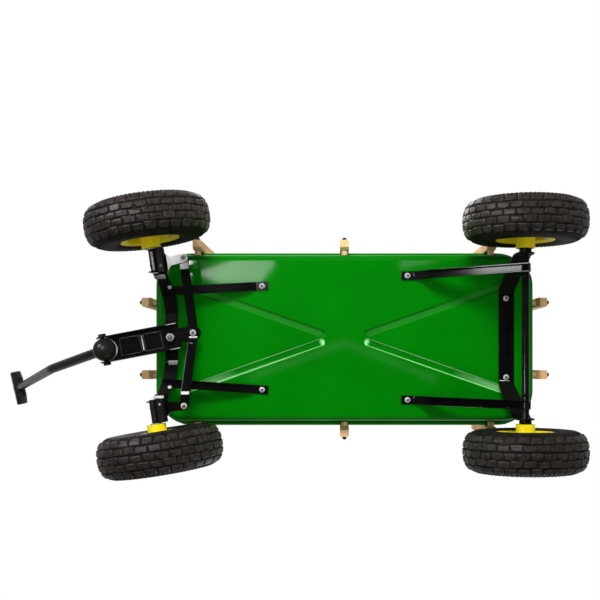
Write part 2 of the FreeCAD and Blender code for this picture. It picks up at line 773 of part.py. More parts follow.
def knuckle_arm(base, arm_end):
    """A flat steering arm: a wide plate round the kingpin that sweeps in to a round-ended bar."""
    bar = stadium(base, arm_end, arm_width / 2)
    root = arm_root_width / 2
    narrow = arm_root_length + arm_root_fillet
    outline = [(0, -root), (arm_root_length, -root), (narrow, -arm_width / 2), (narrow + arm_width, -arm_width / 2),
               (narrow + arm_width, arm_width / 2), (narrow, arm_width / 2), (arm_root_length, root), (0, root)]
    rounds = [0.0, 0.0, arm_root_fillet, 0.0, 0.0, arm_root_fillet, 0.0, 0.0]
    flare = rounded_face([Vector(u, v, 0) for u, v in outline], rounds)
    along = arm_end - base
    flare = turn(flare, Vector(0, 0, 0), Vector(0, 0, 1), math.degrees(math.atan2(along.y, along.x)))
    flare.translate(base)
    pieces = []
    for face in (bar, flare):
        face.translate(Vector(0, 0, arm_top - arm_sheet))
        pieces.append(face.extrude(Vector(0, 0, arm_sheet)))
    return pieces[0].fuse(pieces[1])


def make_spindle(sign):
    """A front wheel's axle stub as it stands straight ahead, with its cap."""
    centre = Vector(kingpin_x, kingpin_y * sign, axle_z)
    outward = Vector(0, sign, 0)
    start = centre - outward * block_inboard
    hub_end = centre + outward * (wheel_offset + hub_outboard_length + seat_gap)
    collar_start = centre + outward * (block_outboard + seat_gap)
    collar_end = centre + outward * (wheel_offset - hub_inboard_length - seat_gap)
    pieces = [rod(axle_collar_radius, collar_start, collar_end), axle_cap(hub_end, outward)]
    return one_solid(rod(axle_radius, start, hub_end).multiFuse(pieces))


def make_arm_bolt(sign):
    """The bolt that joins a steering arm to its tie rod, head down."""
    place = Vector(kingpin_x - arm_reach, (kingpin_y + arm_spread) * sign, 0)
    up = Vector(0, 0, 1)
    head_base = place + up * (arm_top - arm_sheet - arm_bolt_head)
    nut_base = place + up * (rod_outer_z + tie_rod_sheet + seat_gap)
    shank = rod(arm_bolt_radius, head_base, nut_base + up * arm_bolt_head)
    head = hexagon(arm_bolt_flats, arm_bolt_head, head_base, up)
    nut = hexagon(arm_bolt_flats, arm_bolt_head, nut_base, up)
    return one_solid(shank.multiFuse([head, nut]))


def make_tyre():
    """A tyre on the Y axis, plain out to the tips of its tread."""
    crown = tyre_crown_width / 2
    shoulder = tyre_shoulder_width / 2
    bulge = tyre_width / 2
    bead = tyre_bead_width / 2
    top = wheel_radius
    right = [(top, crown), (top - tyre_shoulder_drop, shoulder), (tyre_bulge_radius, bulge), (tyre_bead_radius, bead)]
    left = [(radius, -across) for radius, across in right[::-1]]
    return spin(right + left)


def spin(profile):
    """A solid turned about the Y axis from points of radius and place across."""
    points = [Vector(radius, across, 0) for radius, across in profile]
    face = Part.Face(Part.makePolygon(points + points[:1]))
    return face.revolve(Vector(0, 0, 0), Vector(0, 1, 0), half_turn * 2)


def make_rim(sign):
    """A pressed rim on the Y axis: flanged barrel with a well, disc, and through hub."""
    seat = tyre_bead_radius - running_gap
    well = rim_well_width / 2
    sheet = rim_sheet
    disc = rim_disc_offset
    root = tyre_bead_width / 2 + running_gap * 2
    side_slope = (tyre_width - tyre_bead_width) / 2 / (tyre_bulge_radius - tyre_bead_radius)
    lip = root + (rim_flange_radius - seat) * side_slope
    half_barrel = [(rim_flange_radius, lip + sheet), (rim_flange_radius, lip), (seat, root),
                   (seat, well + sheet), (rim_well_radius, well)]
    half_inside = [(rim_well_radius - sheet, well + sheet), (seat - sheet, well + sheet * 2),
                   (seat - sheet, root + sheet / 2)]
    barrel = [(radius, -across) for radius, across in half_barrel]
    barrel += half_barrel[::-1] + half_inside[::-1]
    barrel += [(radius, -across) for radius, across in half_inside]
    inner = rim_well_radius - sheet / 2
    plate = [(hub_radius - sheet, disc), (hub_radius + sheet * 2, disc), (inner - sheet * 3, -sheet),
             (inner, -sheet), (inner, sheet), (inner - sheet * 2, sheet), (hub_radius + sheet * 3, disc + sheet * 2),
             (hub_radius - sheet, disc + sheet * 2)]
    bore = axle_radius + running_gap
    hub = [(bore, -hub_inboard_length), (hub_radius, -hub_inboard_length),
           (hub_radius, hub_outboard_length), (bore, hub_outboard_length)]
    rim = spin(barrel).multiFuse([spin(plate), spin(hub)]).removeSplitter()
    if sign > 0:
        return rim
    return rim.mirror(Vector(0, 0, 0), Vector(0, 1, 0))


def tail_point(angle):
    """Where the tail bolt stands with the tongue turned by an angle."""
    turned = math.radians(angle)
    return Vector(pivot_x - tail_reach * math.cos(turned), -tail_reach * math.sin(turned), 0)


def circle_crossing(centre_a, radius_a, centre_b, radius_b, side):
    """One of the two points where two circles cross."""
    between = centre_b - centre_a
    span = between.Length
    along = (span ** 2 + radius_a ** 2 - radius_b ** 2) / (2 * span)
    off = math.sqrt(radius_a ** 2 - along ** 2)
    ahead = Vector(between).normalize()
    return centre_a + ahead * along + Vector(-ahead.y, ahead.x, 0) * off * side


def steering(sign):
    """Knuckle turn, and the tie rod's inner and outer ends, with the linkage closed."""
    kingpin = Vector(kingpin_x, kingpin_y * sign, 0)
    straight_arm = Vector(-arm_reach, arm_spread * sign, 0)
    rod_length = (kingpin + straight_arm - tail_point(0)).Length
    tail = tail_point(tongue_turn)
    arm_end = circle_crossing(kingpin, straight_arm.Length, tail, rod_length, -sign)
    arm = arm_end - kingpin
    turned = math.atan2(arm.y, arm.x) - math.atan2(straight_arm.y, straight_arm.x)
    turned = (turned + math.pi) % (math.pi * 2) - math.pi
    return math.degrees(turned), tail, arm_end


def make_tie_rod(sign):
    """A flat bar from under the tongue's tail down to the steering arm, bent at both ends."""
    _, tail, arm_end = steering(sign)
    length = (arm_end - tail).Length
    inner_z = left_rod_inner_z if sign > 0 else right_rod_inner_z
    half = tie_rod_width / 2
    path = [(-half, inner_z + tie_rod_sheet), (tie_rod_inner_flat, inner_z + tie_rod_sheet),
            (length - tie_rod_outer_flat, rod_outer_z + tie_rod_sheet), (length + half, rod_outer_z + tie_rod_sheet)]
    bar = bent_strip(path, tie_rod_sheet, tie_rod_bend, side_plane)
    bar.translate(Vector(0, half, 0))
    bar = bar.extrude(Vector(0, -tie_rod_width, 0))
    keep = stadium(Vector(0, 0, 0), Vector(length, 0, 0), half)
    bar = bar.common(keep.extrude(Vector(0, 0, tongue_top)))
    inner_hole = rod(tail_bolt_radius + running_gap, Vector(0, 0, 0), Vector(0, 0, tongue_top))
    outer_hole = rod(arm_bolt_radius + arm_slot_gap, Vector(length, 0, 0), Vector(length, 0, tongue_top))
    bar = bar.cut(inner_hole).cut(outer_hole)
    angle = math.degrees(math.atan2(arm_end.y - tail.y, arm_end.x - tail.x))
    bar = turn(bar, Vector(0, 0, 0), Vector(0, 0, 1), angle)
    bar.translate(tail)
    return one_solid(bar)


def make_tongue():
    """The folded steel tongue as it points straight ahead, with its tail plate and ears."""
    half = tongue_half_width
    web_front = ball_reach
    web = slab([(-tongue_back, -half), (web_front, -half), (web_front, half), (-tongue_back, half)],
               [tongue_sheet, 0.0, 0.0, tongue_sheet], top_plane, web_underside, tongue_sheet)
    tail = stadium(Vector(-tail_reach, 0, 0), Vector(0, 0, 0), tail_radius)
    tail.translate(Vector(0, 0, web_underside))
    tail = tail.extrude(Vector(0, 0, tongue_sheet))
    flange_low = tongue_top - tongue_depth
    cheek = [(-tongue_back, tongue_top), (-tongue_back, flange_low),
             (ball_reach - ear_radius, ball_height - ear_radius), (ear_end, ball_height - ear_radius),
             (ear_end, ball_height + ear_radius), (ball_reach, tongue_top)]
    rounds = [0.0, tongue_sheet, 0.0, ear_radius - running_gap, ear_radius - running_gap, 0.0]
    pieces = [tail]
    for start in (-half, half - tongue_sheet):
        pieces.append(slab(cheek, rounds, side_plane, -start - tongue_sheet, tongue_sheet))
    tongue = web.multiFuse(pieces)
    ball_room = Part.makeSphere(ball_radius + ball_clearance, Vector(ball_reach, 0, ball_height))
    room = Part.makeCylinder(ball_radius + ball_clearance, tongue_depth * 2,
                             Vector(ball_reach, 0, tongue_top - tongue_depth))
    channel_keep = Part.makeBox(ball_reach * 2, tongue_inner_half * 2, tongue_depth * 4,
                                Vector(-ball_reach, -tongue_inner_half, tongue_top - tongue_depth * 2))
    tongue = tongue.cut(room.common(channel_keep)).cut(ball_room.common(channel_keep))
    bolt_hole = rod(ball_bolt_radius + running_gap, Vector(ball_reach, -half * 2, ball_height),
                    Vector(ball_reach, half * 2, ball_height))
    pivot_hole = rod(pivot_bolt_radius + running_gap, Vector(0, 0, 0), Vector(0, 0, bracket_top))
    tail_hole = rod(tail_bolt_radius + running_gap, Vector(-tail_reach, 0, 0), Vector(-tail_reach, 0, bracket_top))
    return one_solid(tongue.cut(bolt_hole).cut(pivot_hole).cut(tail_hole))


def make_pivot_bolt():
    """The bolt on which the tongue turns, head down."""
    place = Vector(pivot_x, 0, 0)
    up = Vector(0, 0, 1)
    head_base = place + up * (web_underside - seat_gap - pivot_bolt_head)
    shank = rod(pivot_bolt_radius, head_base, place + up * bracket_top)
    return one_solid(shank.fuse(hexagon(pivot_bolt_flats, pivot_bolt_head, head_base, up)))


def make_tail_bolt():
    """The bolt that holds both tie rods under the tongue's tail."""
    place = Vector(-tail_reach, 0, 0)
    up = Vector(0, 0, 1)
    head_base = place + up * (right_rod_inner_z - seat_gap - arm_bolt_head)
    nut_base = place + up * tongue_top
    shank = rod(tail_bolt_radius, head_base, nut_base + up * arm_bolt_head)
    head = hexagon(arm_bolt_flats, arm_bolt_head, head_base, up)
    nut = hexagon(arm_bolt_flats, arm_bolt_head, nut_base, up)
    return one_solid(shank.multiFuse([head, nut]))


def make_ball_bolt():
    """The cross bolt through the tongue's ears and the ball."""
    centre = Vector(ball_reach, 0, ball_height)
    across = Vector(0, 1, 0)
    face = tongue_half_width
    shank = rod(ball_bolt_radius, centre - across * (face + ball_bolt_head), centre + across * (face + ball_bolt_head))
    head = hexagon(ball_bolt_flats, ball_bolt_head, centre + across * face, across)
    nut = hexagon(ball_bolt_flats, ball_bolt_head, centre - across * (face + ball_bolt_head), across)
    return one_solid(shank.multiFuse([head, nut]))


def handle_points():
    """The handle's centre line in its own upright plane: ball, bend and top end."""
    lower = math.radians(handle_lower_rise)
    upper = math.radians(handle_upper_rise)
    bend = Vector(math.cos(lower), 0, math.sin(lower)) * handle_lower_length
    top = bend + Vector(math.cos(upper), 0, math.sin(upper)) * handle_upper_length
    return bend, top


def swept_tube(radius, start, bend, top):
    """A round bar along the handle's two runs and the arc between them."""
    corners = [start, bend, top]
    flat = [Vector(point.x, point.z, 0) for point in corners]
    path = place_face(Part.Wire(outline_edges(flat, [0.0, handle_bend_radius, 0.0], False)), side_plane)
    direction = bend - start
    ring = Part.Wire(Part.makeCircle(radius, start, direction))
    return path.makePipeShell([ring], True, False)


def make_handle():
    """Ball, tube and grip, leaning in the tongue's frame, with the ball at the tongue's ears."""
    bend, top = handle_points()
    lower_way = Vector(bend).normalize()
    upper_way = (top - bend).normalize()
    tube_start = lower_way * handle_socket_start
    outer = swept_tube(handle_tube_radius, tube_start, bend, top)
    inner = swept_tube(handle_tube_radius - handle_tube_wall, tube_start - lower_way * cut_overrun, bend,
                       top + upper_way * cut_overrun)
    tube = outer.cut(inner)
    ball = Part.makeSphere(ball_radius, Vector(0, 0, 0))
    socket = rod(handle_tube_radius + running_gap, tube_start - lower_way * seat_gap, lower_way * ball_radius * 2)
    cross_hole = rod(ball_bolt_radius + running_gap, Vector(0, -ball_radius * 2, 0), Vector(0, ball_radius * 2, 0))
    ball = turn(ball.cut(socket), Vector(0, 0, 0), Vector(0, 0, 1), handle_lean).cut(cross_hole)
    half = grip_length / 2
    neck = half - grip_bevel_length
    shape = [(-half, grip_height), (-half, grip_bevel_height), (-neck, 0), (neck, 0),
             (half, grip_bevel_height), (half, grip_height)]
    rounds = [grip_edge_radius] * len(shape)
    grip = slab(shape, rounds, front_plane, -grip_thickness / 2, grip_thickness)
    long_edges = []
    for edge in grip.Edges:
        box = edge.BoundBox
        if box.XLength < running_gap:
            long_edges.append(edge)
    grip = grip.makeFillet(grip_edge_radius - running_gap, long_edges)
    grip.rotate(Vector(0, 0, 0), Vector(0, 1, 0), quarter_turn - handle_upper_rise)
    grip.translate(top - upper_way * grip_socket_depth)
    socket = rod(handle_tube_radius + running_gap, top - upper_way * grip_length, top + upper_way * running_gap)
    grip = grip.cut(socket)
    placed = {}
    for name, piece in (("handle_tube", tube), ("grip", grip)):
        placed[name] = turn(piece, Vector(0, 0, 0), Vector(0, 0, 1), handle_lean)
    placed["ball"] = ball
    for piece in placed.values():
        piece.translate(Vector(ball_reach, 0, ball_height))
    return placed


def with_tongue(shape):
    """A piece made on a straight tongue, turned and moved to its place."""
    turned = turn(shape, Vector(0, 0, 0), Vector(0, 0, 1), tongue_turn)
    turned.translate(Vector(pivot_x, 0, 0))
    return turned


def with_knuckle(shape, sign):
    """A piece made on a straight knuckle, turned about its kingpin."""
    angle, _, _ = steering(sign)
    return turn(shape, Vector(kingpin_x, kingpin_y * sign, 0), Vector(0, 0, 1), angle)


def make_wheels():
    """Rim and tyre at each corner."""
    nodes = {}
    for name, sign in (("left", 1), ("right", -1)):
        rear = Vector(rear_axle_x, rear_wheel_y * sign, axle_z)
        front = Vector(kingpin_x, (kingpin_y + wheel_offset) * sign, axle_z)
        for piece, shape in (("rim", make_rim(sign)), ("tyre", make_tyre())):
            at_rear = shape.copy()
            at_rear.translate(rear)
            at_front = shape.copy()
            at_front.translate(front)
            nodes[piece + "_rear_" + name] = at_rear
            nodes[piece + "_front_" + name] = with_knuckle(at_front, sign)
    return nodes


def overall_middle(nodes):
    """The middle of the overall length, from the rear tyres to the grip."""
    back = rear_axle_x - wheel_radius
    front = nodes["grip"].optimalBoundingBox(False).XMax
    return (back + front) / 2


def make_wagon():
    """All pieces by name, standing on Z = 0."""
    nodes = {"tray": make_tray()}
    nodes.update(make_racks())
    nodes["rear_bracket"] = make_rear_bracket()
    nodes["rear_axle"] = make_rear_axle()
    nodes.update(make_rear_braces())
    nodes["front_bracket"] = make_front_bracket()
    nodes.update(make_front_braces(nodes["front_bracket"]))
    nodes["pivot_bolt"] = make_pivot_bolt()
    for name, sign in (("left", 1), ("right", -1)):
        nodes["kingpin_" + name] = with_knuckle(make_kingpin(sign), sign)
        nodes["knuckle_" + name] = with_knuckle(make_knuckle(sign), sign)
        nodes["spindle_" + name] = with_knuckle(make_spindle(sign), sign)
        nodes["arm_bolt_" + name] = with_knuckle(make_arm_bolt(sign), sign)
        nodes["tie_rod_" + name] = make_tie_rod(sign)
    nodes["tongue"] = with_tongue(make_tongue())
    nodes["tail_bolt"] = with_tongue(make_tail_bolt())
    nodes["ball_bolt"] = with_tongue(make_ball_bolt())
    for name, shape in make_handle().items():
        nodes[name] = with_tongue(shape)
    nodes.update(make_wheels())
    middle = overall_middle(nodes)
    for shape in nodes.values():
        shape.translate(Vector(-middle, 0, 0))
    return nodes, middle


wagon, middle_x = make_wagon()
os.makedirs("parts", exist_ok=True)
for node, shape in wagon.items():
    shape.exportStep("parts/" + node + ".step")
    print(node, len(shape.Solids), shape.isValid(), round(shape.Volume))
print("pieces", len(wagon), "middle", round(middle_x, 3))
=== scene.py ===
import json
import math

import bmesh
import bpy
from mathutils import Matrix, Vector
from mathutils.bvhtree import BVHTree


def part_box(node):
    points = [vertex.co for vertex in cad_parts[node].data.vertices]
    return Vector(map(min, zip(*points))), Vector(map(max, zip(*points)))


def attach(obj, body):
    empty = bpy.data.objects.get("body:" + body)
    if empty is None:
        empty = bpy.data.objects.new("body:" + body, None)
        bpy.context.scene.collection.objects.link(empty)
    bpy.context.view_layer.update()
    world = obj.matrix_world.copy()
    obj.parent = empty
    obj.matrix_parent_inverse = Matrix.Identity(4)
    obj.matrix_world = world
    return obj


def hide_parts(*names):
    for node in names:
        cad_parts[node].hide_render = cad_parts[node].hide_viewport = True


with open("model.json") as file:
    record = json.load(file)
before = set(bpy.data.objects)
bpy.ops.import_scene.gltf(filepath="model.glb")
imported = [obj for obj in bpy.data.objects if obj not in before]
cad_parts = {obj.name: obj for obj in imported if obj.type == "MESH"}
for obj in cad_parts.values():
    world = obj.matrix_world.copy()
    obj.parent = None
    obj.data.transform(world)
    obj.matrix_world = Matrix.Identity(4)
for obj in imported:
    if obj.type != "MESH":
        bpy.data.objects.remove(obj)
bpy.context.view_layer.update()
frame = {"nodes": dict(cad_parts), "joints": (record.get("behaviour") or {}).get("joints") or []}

# The studio: a pale floor, a white surround, and a camera that looks straight up at the
# wagon's underside. The photograph looks squarely at the bottom of the tray, so the floor
# lets light and sight through from below, and shows only from above.
camera_place = Vector((-0.2196, -0.0665, -1.9686))
camera_turn = (0.0, math.pi, 0.0)
lens_mm = 60.0
sensor_mm = 36.0
shift_right = -0.0658
shift_up = 0.1133
nearest_seen = 0.05
farthest_seen = 60.0
floor_half = 8.0
floor_drop = 0.0006
floor_fade_start = 1.6
floor_fade_end = 7.4
floor_colour = "#F4F3F0"
white = "#FFFFFF"
white_strength = 1.0
fill_strength = 0.42
above_glossy_strength = 0.38
low_glossy_strength = 0.10
below_glossy_strength = 0.03
horizon_shares = (-0.10, 0.05, 0.42, 0.72)
millimetres = 1000.0


def linear(code):
    """An sRGB hex colour as linear red, green, blue and alpha."""
    parts = [int(code[at:at + 2], 16) / 255 for at in (1, 3, 5)]
    return tuple(p / 12.92 if p <= 0.04045 else ((p + 0.055) / 1.055) ** 2.4 for p in parts) + (1.0,)


def node(tree, kind, inputs=None, **settings):
    """Adds a shader node with its settings, and its inputs as sockets to link or as values."""
    made = tree.nodes.new("ShaderNode" + kind)
    for field, value in settings.items():
        setattr(made, field, value)
    for key, value in (inputs or {}).items():
        if isinstance(value, bpy.types.NodeSocket):
            tree.links.new(value, made.inputs[key])
        else:
            made.inputs[key].default_value = value
    return made


def bare_tree(owner):
    """The emptied node tree of a material or a world."""
    owner.use_nodes = True
    owner.node_tree.nodes.clear()
    return owner.node_tree


def put_in_scene(name, data):
    """A new object of the scene."""
    made = bpy.data.objects.new(name, data)
    bpy.context.scene.collection.objects.link(made)
    return made


camera = put_in_scene("camera", bpy.data.cameras.new("camera"))
camera.location = camera_place
camera.rotation_euler = camera_turn
camera.data.lens = lens_mm
camera.data.sensor_width = sensor_mm
camera.data.shift_x = shift_right
camera.data.shift_y = shift_up
camera.data.clip_start = nearest_seen
camera.data.clip_end = farthest_seen
bpy.context.scene.camera = camera
bpy.context.scene.view_settings.view_transform = "Standard"

world = bpy.data.worlds.new("studio")
bpy.context.scene.world = world
tree = bare_tree(world)
path = node(tree, "LightPath")
heading = node(tree, "SeparateXYZ", {0: node(tree, "TexCoord").outputs["Generated"]})
lower = node(tree, "MapRange", {0: heading.outputs["Z"], 1: horizon_shares[0], 2: horizon_shares[1],
                                3: below_glossy_strength, 4: low_glossy_strength})
higher = node(tree, "MapRange", {0: heading.outputs["Z"], 1: horizon_shares[2], 2: horizon_shares[3],
                                 3: 0.0, 4: above_glossy_strength - low_glossy_strength})
upward = node(tree, "Math", {0: lower.outputs[0], 1: higher.outputs[0]})
glossy = node(tree, "Math", {0: path.outputs["Is Glossy Ray"], 1: path.outputs["Is Transmission Ray"]},
              operation="MAXIMUM")
shiny = node(tree, "Mix", {0: glossy.outputs[0], 2: fill_strength, 3: upward.outputs[0]})
seen = node(tree, "Mix", {0: path.outputs["Is Camera Ray"], 2: shiny.outputs[0], 3: white_strength})
surround = node(tree, "Background", {"Color": linear(white), "Strength": seen.outputs[0]})
node(tree, "OutputWorld", {"Surface": surround.outputs[0]})

floor_mesh = bpy.data.meshes.new("floor")
corners = [(floor_half * x, floor_half * y, -floor_drop) for x, y in ((-1, -1), (1, -1), (1, 1), (-1, 1))]
floor_mesh.from_pydata(corners, [], [(0, 1, 2, 3)])
put_in_scene("floor", floor_mesh)
floor_finish = bpy.data.materials.new("matt studio floor")
tree = bare_tree(floor_finish)
path = node(tree, "LightPath")
sides = node(tree, "NewGeometry")
reach = node(tree, "VectorMath", {0: node(tree, "TexCoord").outputs["Object"]}, operation="LENGTH")
gone = node(tree, "MapRange", {0: reach.outputs["Value"], 1: floor_fade_start, 2: floor_fade_end},
            interpolation_type="SMOOTHSTEP")
hidden = path.outputs["Is Shadow Ray"]
for cause in (path.outputs["Is Glossy Ray"], sides.outputs["Backfacing"], gone.outputs[0]):
    hidden = node(tree, "Math", {0: hidden, 1: cause}, operation="MAXIMUM").outputs[0]
paint = node(tree, "BsdfDiffuse", {"Color": linear(floor_colour)})
clear = node(tree, "BsdfTransparent")
both = node(tree, "MixShader", {0: hidden, 1: paint.outputs[0], 2: clear.outputs[0]})
node(tree, "OutputMaterial", {"Surface": both.outputs[0]})
floor_mesh.materials.append(floor_finish)


def soft_light(name, place, target, size, watts, diffuse, glossy):
    """A rectangular studio light that faces a target."""
    light = bpy.data.lights.new(name, "AREA")
    light.shape = "RECTANGLE"
    light.size, light.size_y = size
    light.energy = watts
    lamp = put_in_scene(name, light)
    lamp.location = place
    lamp.rotation_euler = (Vector(target) - Vector(place)).to_track_quat("-Z", "Y").to_euler()
    lamp.visible_diffuse = diffuse
    lamp.visible_glossy = glossy
    lamp.visible_camera = False


def mirror_window(name, radiance, fade, corners):
    """A level bright shape beside the camera that shows only in gloss, as a studio window does."""
    mesh = bpy.data.meshes.new(name)
    mesh.from_pydata([(x, y, camera_place.z) for x, y in corners], [], [tuple(range(len(corners)))])
    glow = bpy.data.materials.new(name)
    tree = bare_tree(glow)
    far = max(x for x, _ in corners)
    near = min(x for x, _ in corners)
    along = node(tree, "SeparateXYZ", {0: node(tree, "TexCoord").outputs["Object"]}).outputs["X"]
    level = node(tree, "MapRange", {0: along, 1: near, 2: far, 3: radiance * (1 - fade), 4: radiance})
    emission = node(tree, "Emission", {"Color": linear(white), "Strength": level.outputs[0]})
    node(tree, "OutputMaterial", {"Surface": emission.outputs[0]})
    mesh.materials.append(glow)
    window = put_in_scene(name, mesh)
    window.visible_camera = False
    window.visible_diffuse = False
    window.visible_shadow = False


# Each light: its name, place, target, width and height in metres, watts, and whether it shows
# in matt and in glossy surfaces. The two from below would be blots in the enamel's gloss.
tray_centre = (-0.2, 0.0, 0.2)
front_gear = (0.29, -0.03, 0.19)
lights = (
    ("light over the left", (0.6, 1.6, 2.6), tray_centre, (2.4, 1.6), 40.0, True, True),
    ("light over the right", (-0.9, -2.4, 2.0), tray_centre, (2.0, 1.4), 22.0, True, True),
    ("light from below", (-0.5, -0.5, -2.6), tray_centre, (2.6, 2.6), 24.0, True, False),
    ("light from below the left", (-0.1, 1.9, -1.7), tray_centre, (0.8, 0.8), 72.0, True, False),
    ("softbox off the front", (1.75, 1.25, -0.95), front_gear, (0.9, 0.9), 17.0, False, True),
)
# Each window: its name, its brightness, how much of that it loses towards the rear, and its outline.
windows = (
    ("window below the front", 6.0, 0.35,
     ((0.131, 0.306), (0.310, 0.308), (0.418, 0.352), (0.286, 0.397), (0.225, 0.430), (0.080, 0.430),
      (0.065, 0.392))),
    ("window beside the camera", 27.0, 0.0,
     ((0.437, 0.346), (0.535, 0.346), (0.535, 0.470), (0.437, 0.470))),
    ("window further forward", 16.0, 0.0, ((0.64, 0.360), (1.30, 0.33), (1.30, 0.50), (0.64, 0.470))),
    ("window below the rear", 1.3, 0.0, ((-0.66, 0.41), (-0.49, 0.372), (-0.49, 0.43), (-0.66, 0.43))),
    ("window at the left", 11.0, 0.0, ((0.40, 0.62), (0.80, 0.62), (0.80, 1.15), (0.40, 1.15))),
    ("faint strip at the front", 0.42, 0.0,
     ((-0.245, 0.030), (0.176, -0.124), (0.176, -0.092), (-0.245, 0.062))),
    ("faint strip at the rear", 0.36, 0.0,
     ((-0.650, -0.136), (-0.245, 0.030), (-0.245, 0.062), (-0.650, -0.104))),
)
for light in lights:
    soft_light(*light)
for window in windows:
    mirror_window(*window)

# Green enamel: sheet steel sprayed with a hard gloss paint and baked. It gives the eye a deep
# even colour under a mirror that waves a little with the pressed sheet. Over the ribs, pale
# lines and tips are painted highlights and faint pale bands are painted reflections, lighter on
# the right side. On the bends of the rim the enamel is dull.
green_enamel_colour = "#007704"
green_enamel_shade = "#006E03"
sheet_wave_mm = 130.0
sheet_wave_depth_mm = 0.06
orange_peel_mm = 2.4
orange_peel_depth_mm = 0.004
tone_patch_mm = 160.0
rib_inner = (52.0, 9.8, 0.0)
rib_outer = (352.0, 115.2, 0.0)
rib_line = 7.4
rib_line_soft = 1.2
rib_line_core = 0.2
rib_line_dim = 0.45
rib_fade_length = 110.0
rib_end_soft = (1.4, 0.6)
rib_end_blend = 0.5
rib_tip_length = 4.0
rib_tip_soft = (1.0, 0.2)
rib_side_soft = 0.6
rib_ends_soft = (-2.0, 1.0, 2.0, -1.0)
rib_fill_run = (120.0, 20.0)
# Colour of the painted highlights and reflections along the ribs.
rib_painted_highlight = "#A6F7A6"
rib_band_share = 0.035
rib_fill_share = 0.42
side_blend = 1.0
bend_normals = (-0.9995, -0.12)
floor_half_width = 0.150
floor_half_length = 0.395


def start_material(name, **inputs):
    """A named material and its surface shader, with constant values on its own sockets."""
    material = bpy.data.materials.new(name)
    material.use_nodes = True
    shader = material.node_tree.nodes["Principled BSDF"]
    for key, value in inputs.items():
        shader.inputs[key.replace("_", " ")].default_value = value
    return material, material.node_tree, shader


def grain(tree, size_mm, detail=2.0, stretch=(1.0, 1.0, 1.0)):
    """A noise whose patches are about that many millimetres across, longer where it is stretched."""
    place = node(tree, "TexCoord").outputs["Object"]
    shares = [1.0 / share for share in stretch]
    place = node(tree, "VectorMath", {0: place, 1: shares}, operation="MULTIPLY").outputs[0]
    scale = millimetres / size_mm
    return node(tree, "TexNoise", {"Vector": place, "Scale": scale, "Detail": detail}).outputs["Fac"]


def two_tone(tree, shader, light_code, dark_code, field, low=0.35, high=0.65):
    """A surface colour that drifts between two near tones as a field rises."""
    ramp = node(tree, "MapRange", {0: field, 1: low, 2: high})
    tones = {0: ramp.outputs[0], 6: linear(light_code), 7: linear(dark_code)}
    mix = node(tree, "Mix", tones, data_type="RGBA")
    tree.links.new(mix.outputs[2], shader.inputs["Base Color"])
    return mix


def dent(tree, shader, heights):
    """Adds relief to a surface: pairs of a height field and its depth in millimetres."""
    normal = None
    for height, depth_mm in heights:
        inputs = {"Height": height, "Distance": depth_mm / millimetres, "Strength": 1.0}
        if normal is not None:
            inputs["Normal"] = normal
        normal = node(tree, "Bump", inputs).outputs[0]
    tree.links.new(normal, shader.inputs["Normal"])


def rise(tree, field, start, full):
    """Grows from 0 to 1 as a field goes from one value to another."""
    return node(tree, "MapRange", {0: field, 1: start, 2: full}).outputs[0]


def combine(tree, operation, *fields):
    """Several fields joined in turn by one sum."""
    joined = fields[0]
    for field in fields[1:]:
        joined = node(tree, "Math", {0: joined, 1: field}, operation=operation).outputs[0]
    return joined


